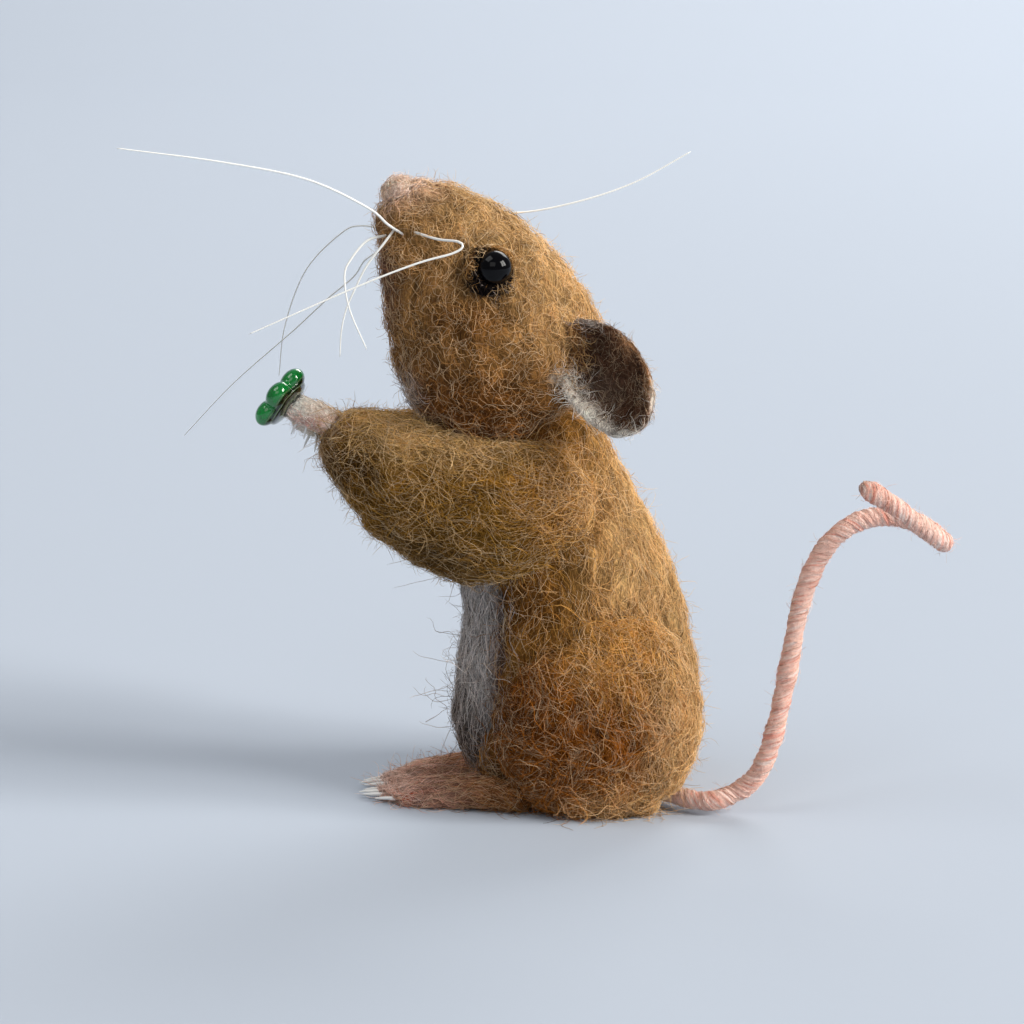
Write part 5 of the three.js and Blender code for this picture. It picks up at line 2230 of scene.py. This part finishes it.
@dataclass
class FlowerBead:
    """The pressed glass flower. Sizes are in millimetres.

    Args:
        middle: the place of its middle.
        lean: how far its axis leans up, in degrees.
        turn: how far its axis turns to the side, in degrees.
        petals: how many petals it has.
        first_petal: how far the first is turned, in degrees.
        petal_ring: how far out the middle of a petal is.
        petal_radius: half a petal's width.
        petal_thick: half a petal's thickness.
        petal_rise: how far a petal's middle stands out along the axis.
        core: half the width of the heart.
        core_thick: half its thickness.
        core_rise: how far the heart's middle stands out along the axis.
        back_radius: half the width of the flat back.
        back_thick: half its thickness.
        back_rise: how far in from the back's face its middle is.
        thick: the thickness of the whole flower.
        bore: half the width of the hole.
        voxel: the size of its faces.
        smooth: how many times it is softened.
    """

    middle: tuple[float, float, float] = (-36.7, -3.3, 58.4)
    lean: float = 36.0
    turn: float = 15.0
    petals: int = 5
    first_petal: float = -4.0
    petal_ring: float = 2.85
    petal_radius: float = 2.1
    petal_thick: float = 1.5
    petal_rise: float = 0.15
    core: float = 3.1
    core_thick: float = 1.35
    core_rise: float = -0.1
    back_radius: float = 3.7
    back_thick: float = 0.8
    back_rise: float = 0.55
    thick: float = 3.4
    bore: float = 0.55
    voxel: float = 0.16
    smooth: int = 6

    def frame(self) -> tuple[Vector, Vector, Vector]:
        """Gives the directions that the bead is built on.

        Returns:
            The bead's axis, and two directions across it.
        """
        lean, turn = math.radians(self.lean), math.radians(self.turn)
        axis = Vector((-math.cos(lean) * math.cos(turn), math.sin(turn), math.sin(lean) * math.cos(turn)))
        side = Vector((0.0, 1.0, 0.0)).cross(axis).normalized()
        return axis, side, axis.cross(side)

    def lump(self, offset: Vector, radius: float, thick: float) -> bpy.types.Object:
        """Adds one rounded lump of glass, flattened along the bead's axis.

        Args:
            offset: from the bead's middle, in millimetres.
            radius: half its width.
            thick: half its thickness along the bead's axis.

        Returns:
            The lump.
        """
        select_nothing()
        bpy.ops.mesh.primitive_uv_sphere_add(segments=32, ring_count=20, radius=radius * MM)
        made = bpy.context.active_object
        made.scale = (1.0, 1.0, thick / radius)
        made.rotation_euler = self.frame()[0].to_track_quat("Z", "Y").to_euler()
        made.location = (Vector(self.middle) + offset) * MM
        bpy.ops.object.transform_apply(location=True, rotation=True, scale=True)
        return made

    def fused(self) -> bpy.types.Object:
        """Fuses the petals, the heart and the back.

        Returns:
            The glass without its hole.
        """
        axis, across, side = self.frame()
        half = self.thick / 2.0
        lumps = [
            self.lump(axis * self.core_rise, self.core, self.core_thick),
            self.lump(axis * (self.back_rise - half), self.back_radius, self.back_thick),
        ]
        for petal in range(self.petals):
            angle = math.radians(self.first_petal) + petal * 2.0 * math.pi / self.petals
            out = (across * math.cos(angle) + side * math.sin(angle)) * self.petal_ring
            lumps.append(self.lump(out + axis * self.petal_rise, self.petal_radius, self.petal_thick))
        select_nothing()
        for lump in lumps:
            lump.select_set(True)
        bpy.context.view_layer.objects.active = lumps[0]
        bpy.ops.object.join()
        glass = lumps[0]
        fuse = glass.modifiers.new("fuse", "REMESH")
        fuse.mode = "VOXEL"
        fuse.voxel_size = self.voxel * MM
        soften = glass.modifiers.new("soften", "SMOOTH")
        soften.iterations = self.smooth
        apply_all(glass)
        return glass

    def pierce(self, glass: bpy.types.Object) -> None:
        """Drills the hole for the pin.

        Args:
            glass: the fused glass.
        """
        select_nothing()
        bpy.ops.mesh.primitive_cylinder_add(vertices=32, radius=self.bore * MM, depth=4.0 * self.thick * MM)
        drill = bpy.context.active_object
        drill.rotation_euler = self.frame()[0].to_track_quat("Z", "Y").to_euler()
        drill.location = Vector(self.middle) * MM
        cut = glass.modifiers.new("pin hole", "BOOLEAN")
        cut.object = drill
        apply_all(glass)
        bpy.data.objects.remove(drill)

    def make(self) -> None:
        """Builds the pierced flower, which turns on its pin."""
        glass = self.fused()
        self.pierce(glass)
        settle(glass, "flower_bead_glass")
        glass.data.materials.clear()
        glass.data.materials.append(self.glass_material())
        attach(glass, "bead")
        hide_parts("flower_bead")
        LOG.info("flower bead: %d faces", len(glass.data.polygons))

    def glass_material(self) -> bpy.types.Material:
        """Green glass: clear in the petals, dark and streaked on the flat back.

        Returns:
            The material.
        """
        made, work, shader = new_material("green pressed glass", {
            "Transmission Weight": 0.45,
            "IOR": 1.5,
            "Coat Weight": 0.6,
            "Coat Roughness": COAT_ROUGHNESS,
        })
        places = work.node("ShaderNodeTexCoord").outputs["Object"]
        axis = self.frame()[0]
        back = (Vector(self.middle).dot(axis) - self.thick / 2.0) * MM
        rise = work.maths("SUBTRACT", work.vector("DOT_PRODUCT", places, axis).outputs["Value"], back)
        share = work.maths("MULTIPLY", work.maths("SUBTRACT", rise, BACK_UP_TO), 1.0 / BACK_FADE)
        bent = work.maths("MULTIPLY", work.noise(500.0, 1.0, places).outputs["Fac"], STREAK_BEND)
        turns = work.maths("MULTIPLY", work.maths("ADD", rise, bent), 2.0 * math.pi / STREAK_PITCH)
        lines = work.maths("MAXIMUM", work.maths("SINE", turns), 0.0)
        streak = work.mix(work.maths("POWER", lines, STREAK_POWER), opaque(*DARK_BACK), opaque(*PALE_STREAK))
        work.link(work.mix(share, streak, opaque(*PETAL_GREEN)), shader.inputs["Base Color"])
        cloud = work.noise(700.0, 2.0, places)
        work.link(work.maths("MULTIPLY", cloud.outputs["Fac"], CLOUDING), shader.inputs["Roughness"])
        return made


# Studio


LAMPS_AIM = (0.0, 0.0, 45.0)


@dataclass(frozen=True)
class Lamp:
    """A soft box that faces the mouse.

    Args:
        name: the lamp's name.
        place: where it stands, in millimetres.
        size: its width and height, in millimetres.
        power: its power in watts.
        tint: its colour in linear light.
    """

    name: str
    place: tuple[float, float, float]
    size: tuple[float, float]
    power: float
    tint: tuple[float, float, float]

    def add(self) -> None:
        """Adds the lamp to the scene."""
        data = bpy.data.lights.new(self.name, "AREA")
        data.shape = "RECTANGLE"
        data.size, data.size_y = self.size[0] * MM, self.size[1] * MM
        data.energy = self.power
        data.color = self.tint
        lamp = bpy.data.objects.new(self.name, data)
        lamp.location = Vector(self.place) * MM
        away = Vector(self.place) - Vector(LAMPS_AIM)
        lamp.rotation_euler = away.to_track_quat("Z", "Y").to_euler()
        bpy.context.scene.collection.objects.link(lamp)


WARM = (1.0, 0.97, 0.92)
WINDOW = tuple(
    Lamp(
        f"window_pane_{column}_{row}",
        (2490.0 + 132.0 * column, -925.0 + 374.0 * column, 1620.0 + 440.0 * row),
        (660.0, 770.0), 30.0, WARM,
    )
    for column in (-1, 1)
    for row in (-1, 1)
)


@dataclass
class Studio:
    """The floor, the light and the camera at the photograph's angle.

    Args:
        target: the place that the camera looks at, in millimetres.
        pitch: how far the camera looks down, in degrees.
        distance: how far it is from that place, in millimetres.
        lens: its focal length, in millimetres.
        sensor: the width of its film, in millimetres.
        floor_colour: in screen values.
        floor_size: the width of the flat floor, in metres.
        floor_shift: how far its middle is behind the mouse, in metres.
        bend_steps: how many steps the floor's bend has.
        bend_step: the length of a step, in metres.
        wall: the height of the straight part behind it, in metres.
        surround: the colour of the even light from all round, in linear light.
        surround_strength: how bright that is.
        lamps: the four panes of a window, a fill, a sky and a rim light.
    """

    target: tuple[float, float, float] = (-4.65, 0.0, 41.4)
    pitch: float = 13.5
    distance: float = 561.0
    lens: float = 140.0
    sensor: float = 36.0
    floor_colour: tuple[int, int, int] = (178, 187, 200)
    floor_size: float = 3.0
    floor_shift: float = -0.7
    bend_steps: int = 12
    bend_step: float = 0.09
    wall: float = 1.5
    surround: tuple[float, float, float] = (0.97, 0.98, 1.0)
    surround_strength: float = 0.19
    lamps: tuple[Lamp, ...] = (
        *WINDOW,
        Lamp("fill", (-250.0, -1250.0, 900.0), (900.0, 700.0), 2.6, (1.0, 0.98, 0.96)),
        Lamp("sky", (-650.0, -250.0, 1300.0), (800.0, 800.0), 5.6, (1.0, 0.99, 0.97)),
        Lamp("rim", (450.0, 1000.0, 800.0), (900.0, 500.0), 8.5, WARM),
    )

    def camera(self) -> None:
        """Places the camera."""
        data = bpy.data.cameras.new("camera")
        data.lens = self.lens
        data.sensor_width = self.sensor
        data.clip_start, data.clip_end = 0.01, 20.0
        camera = bpy.data.objects.new("camera", data)
        pitch = math.radians(self.pitch)
        back = Vector((0.0, -math.cos(pitch), math.sin(pitch)))
        camera.location = (Vector(self.target) + back * self.distance) * MM
        camera.rotation_euler = (-back).to_track_quat("-Z", "Y").to_euler()
        bpy.context.scene.collection.objects.link(camera)
        bpy.context.scene.camera = camera

    def floor(self) -> None:
        """Adds the plain pale floor, which curves up behind the mouse."""
        select_nothing()
        bpy.ops.mesh.primitive_plane_add(size=self.floor_size, location=(0.0, self.floor_shift, 0.0))
        floor = bpy.context.active_object
        bpy.ops.object.mode_set(mode="EDIT")
        bpy.ops.mesh.select_mode(type="EDGE")
        bpy.ops.mesh.select_all(action="DESELECT")
        bpy.ops.object.mode_set(mode="OBJECT")
        for edge in floor.data.edges:
            edge.select = all(floor.data.vertices[number].co.y > 1.0 for number in edge.vertices)
        bpy.ops.object.mode_set(mode="EDIT")
        moves = []
        for step in range(self.bend_steps):
            angle = math.radians(90.0 / self.bend_steps * (step + 0.5))
            moves.append((0.0, self.bend_step * math.cos(angle), self.bend_step * math.sin(angle)))
        for move in (*moves, (0.0, 0.0, self.wall)):
            bpy.ops.mesh.extrude_region_move(TRANSFORM_OT_translate={"value": move})
        bpy.ops.object.mode_set(mode="OBJECT")
        settle(floor, "floor")
        made, _, _ = new_material("pale floor", {
            "Base Color": opaque(*self.floor_colour),
            "Roughness": 0.9,
            "Specular IOR Level": 0.1,
        })
        floor.data.materials.append(made)
        floor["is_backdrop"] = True

    def world(self) -> None:
        """Adds an even pale surround."""
        world = bpy.data.worlds.new("surround")
        world.use_nodes = True
        light = world.node_tree.nodes["Background"]
        light.inputs["Color"].default_value = (*self.surround, 1.0)
        light.inputs["Strength"].default_value = self.surround_strength
        bpy.context.scene.world = world

    def make(self) -> None:
        """Sets up the whole studio."""
        self.camera()
        self.floor()
        self.world()
        for lamp in self.lamps:
            lamp.add()
        LOG.info("studio: floor, camera and %d lamps", len(self.lamps))
        bpy.context.scene.view_settings.view_transform = "Standard"


STEEL_PIECES = (
    "neck_wire", "eye_wire", "left_leg_wire", "right_leg_wire", "arm_wire", "tail_wire", "bead_pin"
)


def dress_wires(nodes: dict[str, bpy.types.Object]) -> None:
    """Gives the armature wires and the pin their steel."""
    for name in STEEL_PIECES:
        dress(nodes[name], STEEL)
        LOG.info("%s: steel", name)


def main() -> None:
    """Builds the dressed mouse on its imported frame."""
    logging.basicConfig(level=logging.INFO, format="%(message)s")
    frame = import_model()
    nodes = frame["nodes"]
    Studio().make()
    dress_wires(nodes)
    FeltedMouse(nodes).make()
    WoundTail().make()
    Whiskers().make()
    Claws().make(nodes)
    Eyes().make()
    FlowerBead().make()
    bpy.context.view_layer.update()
    faces = sum(len(o.data.polygons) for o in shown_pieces() if o.type == "MESH")
    LOG.info("faces in all: %d", faces)


if __name__ == "__main__":
    main()
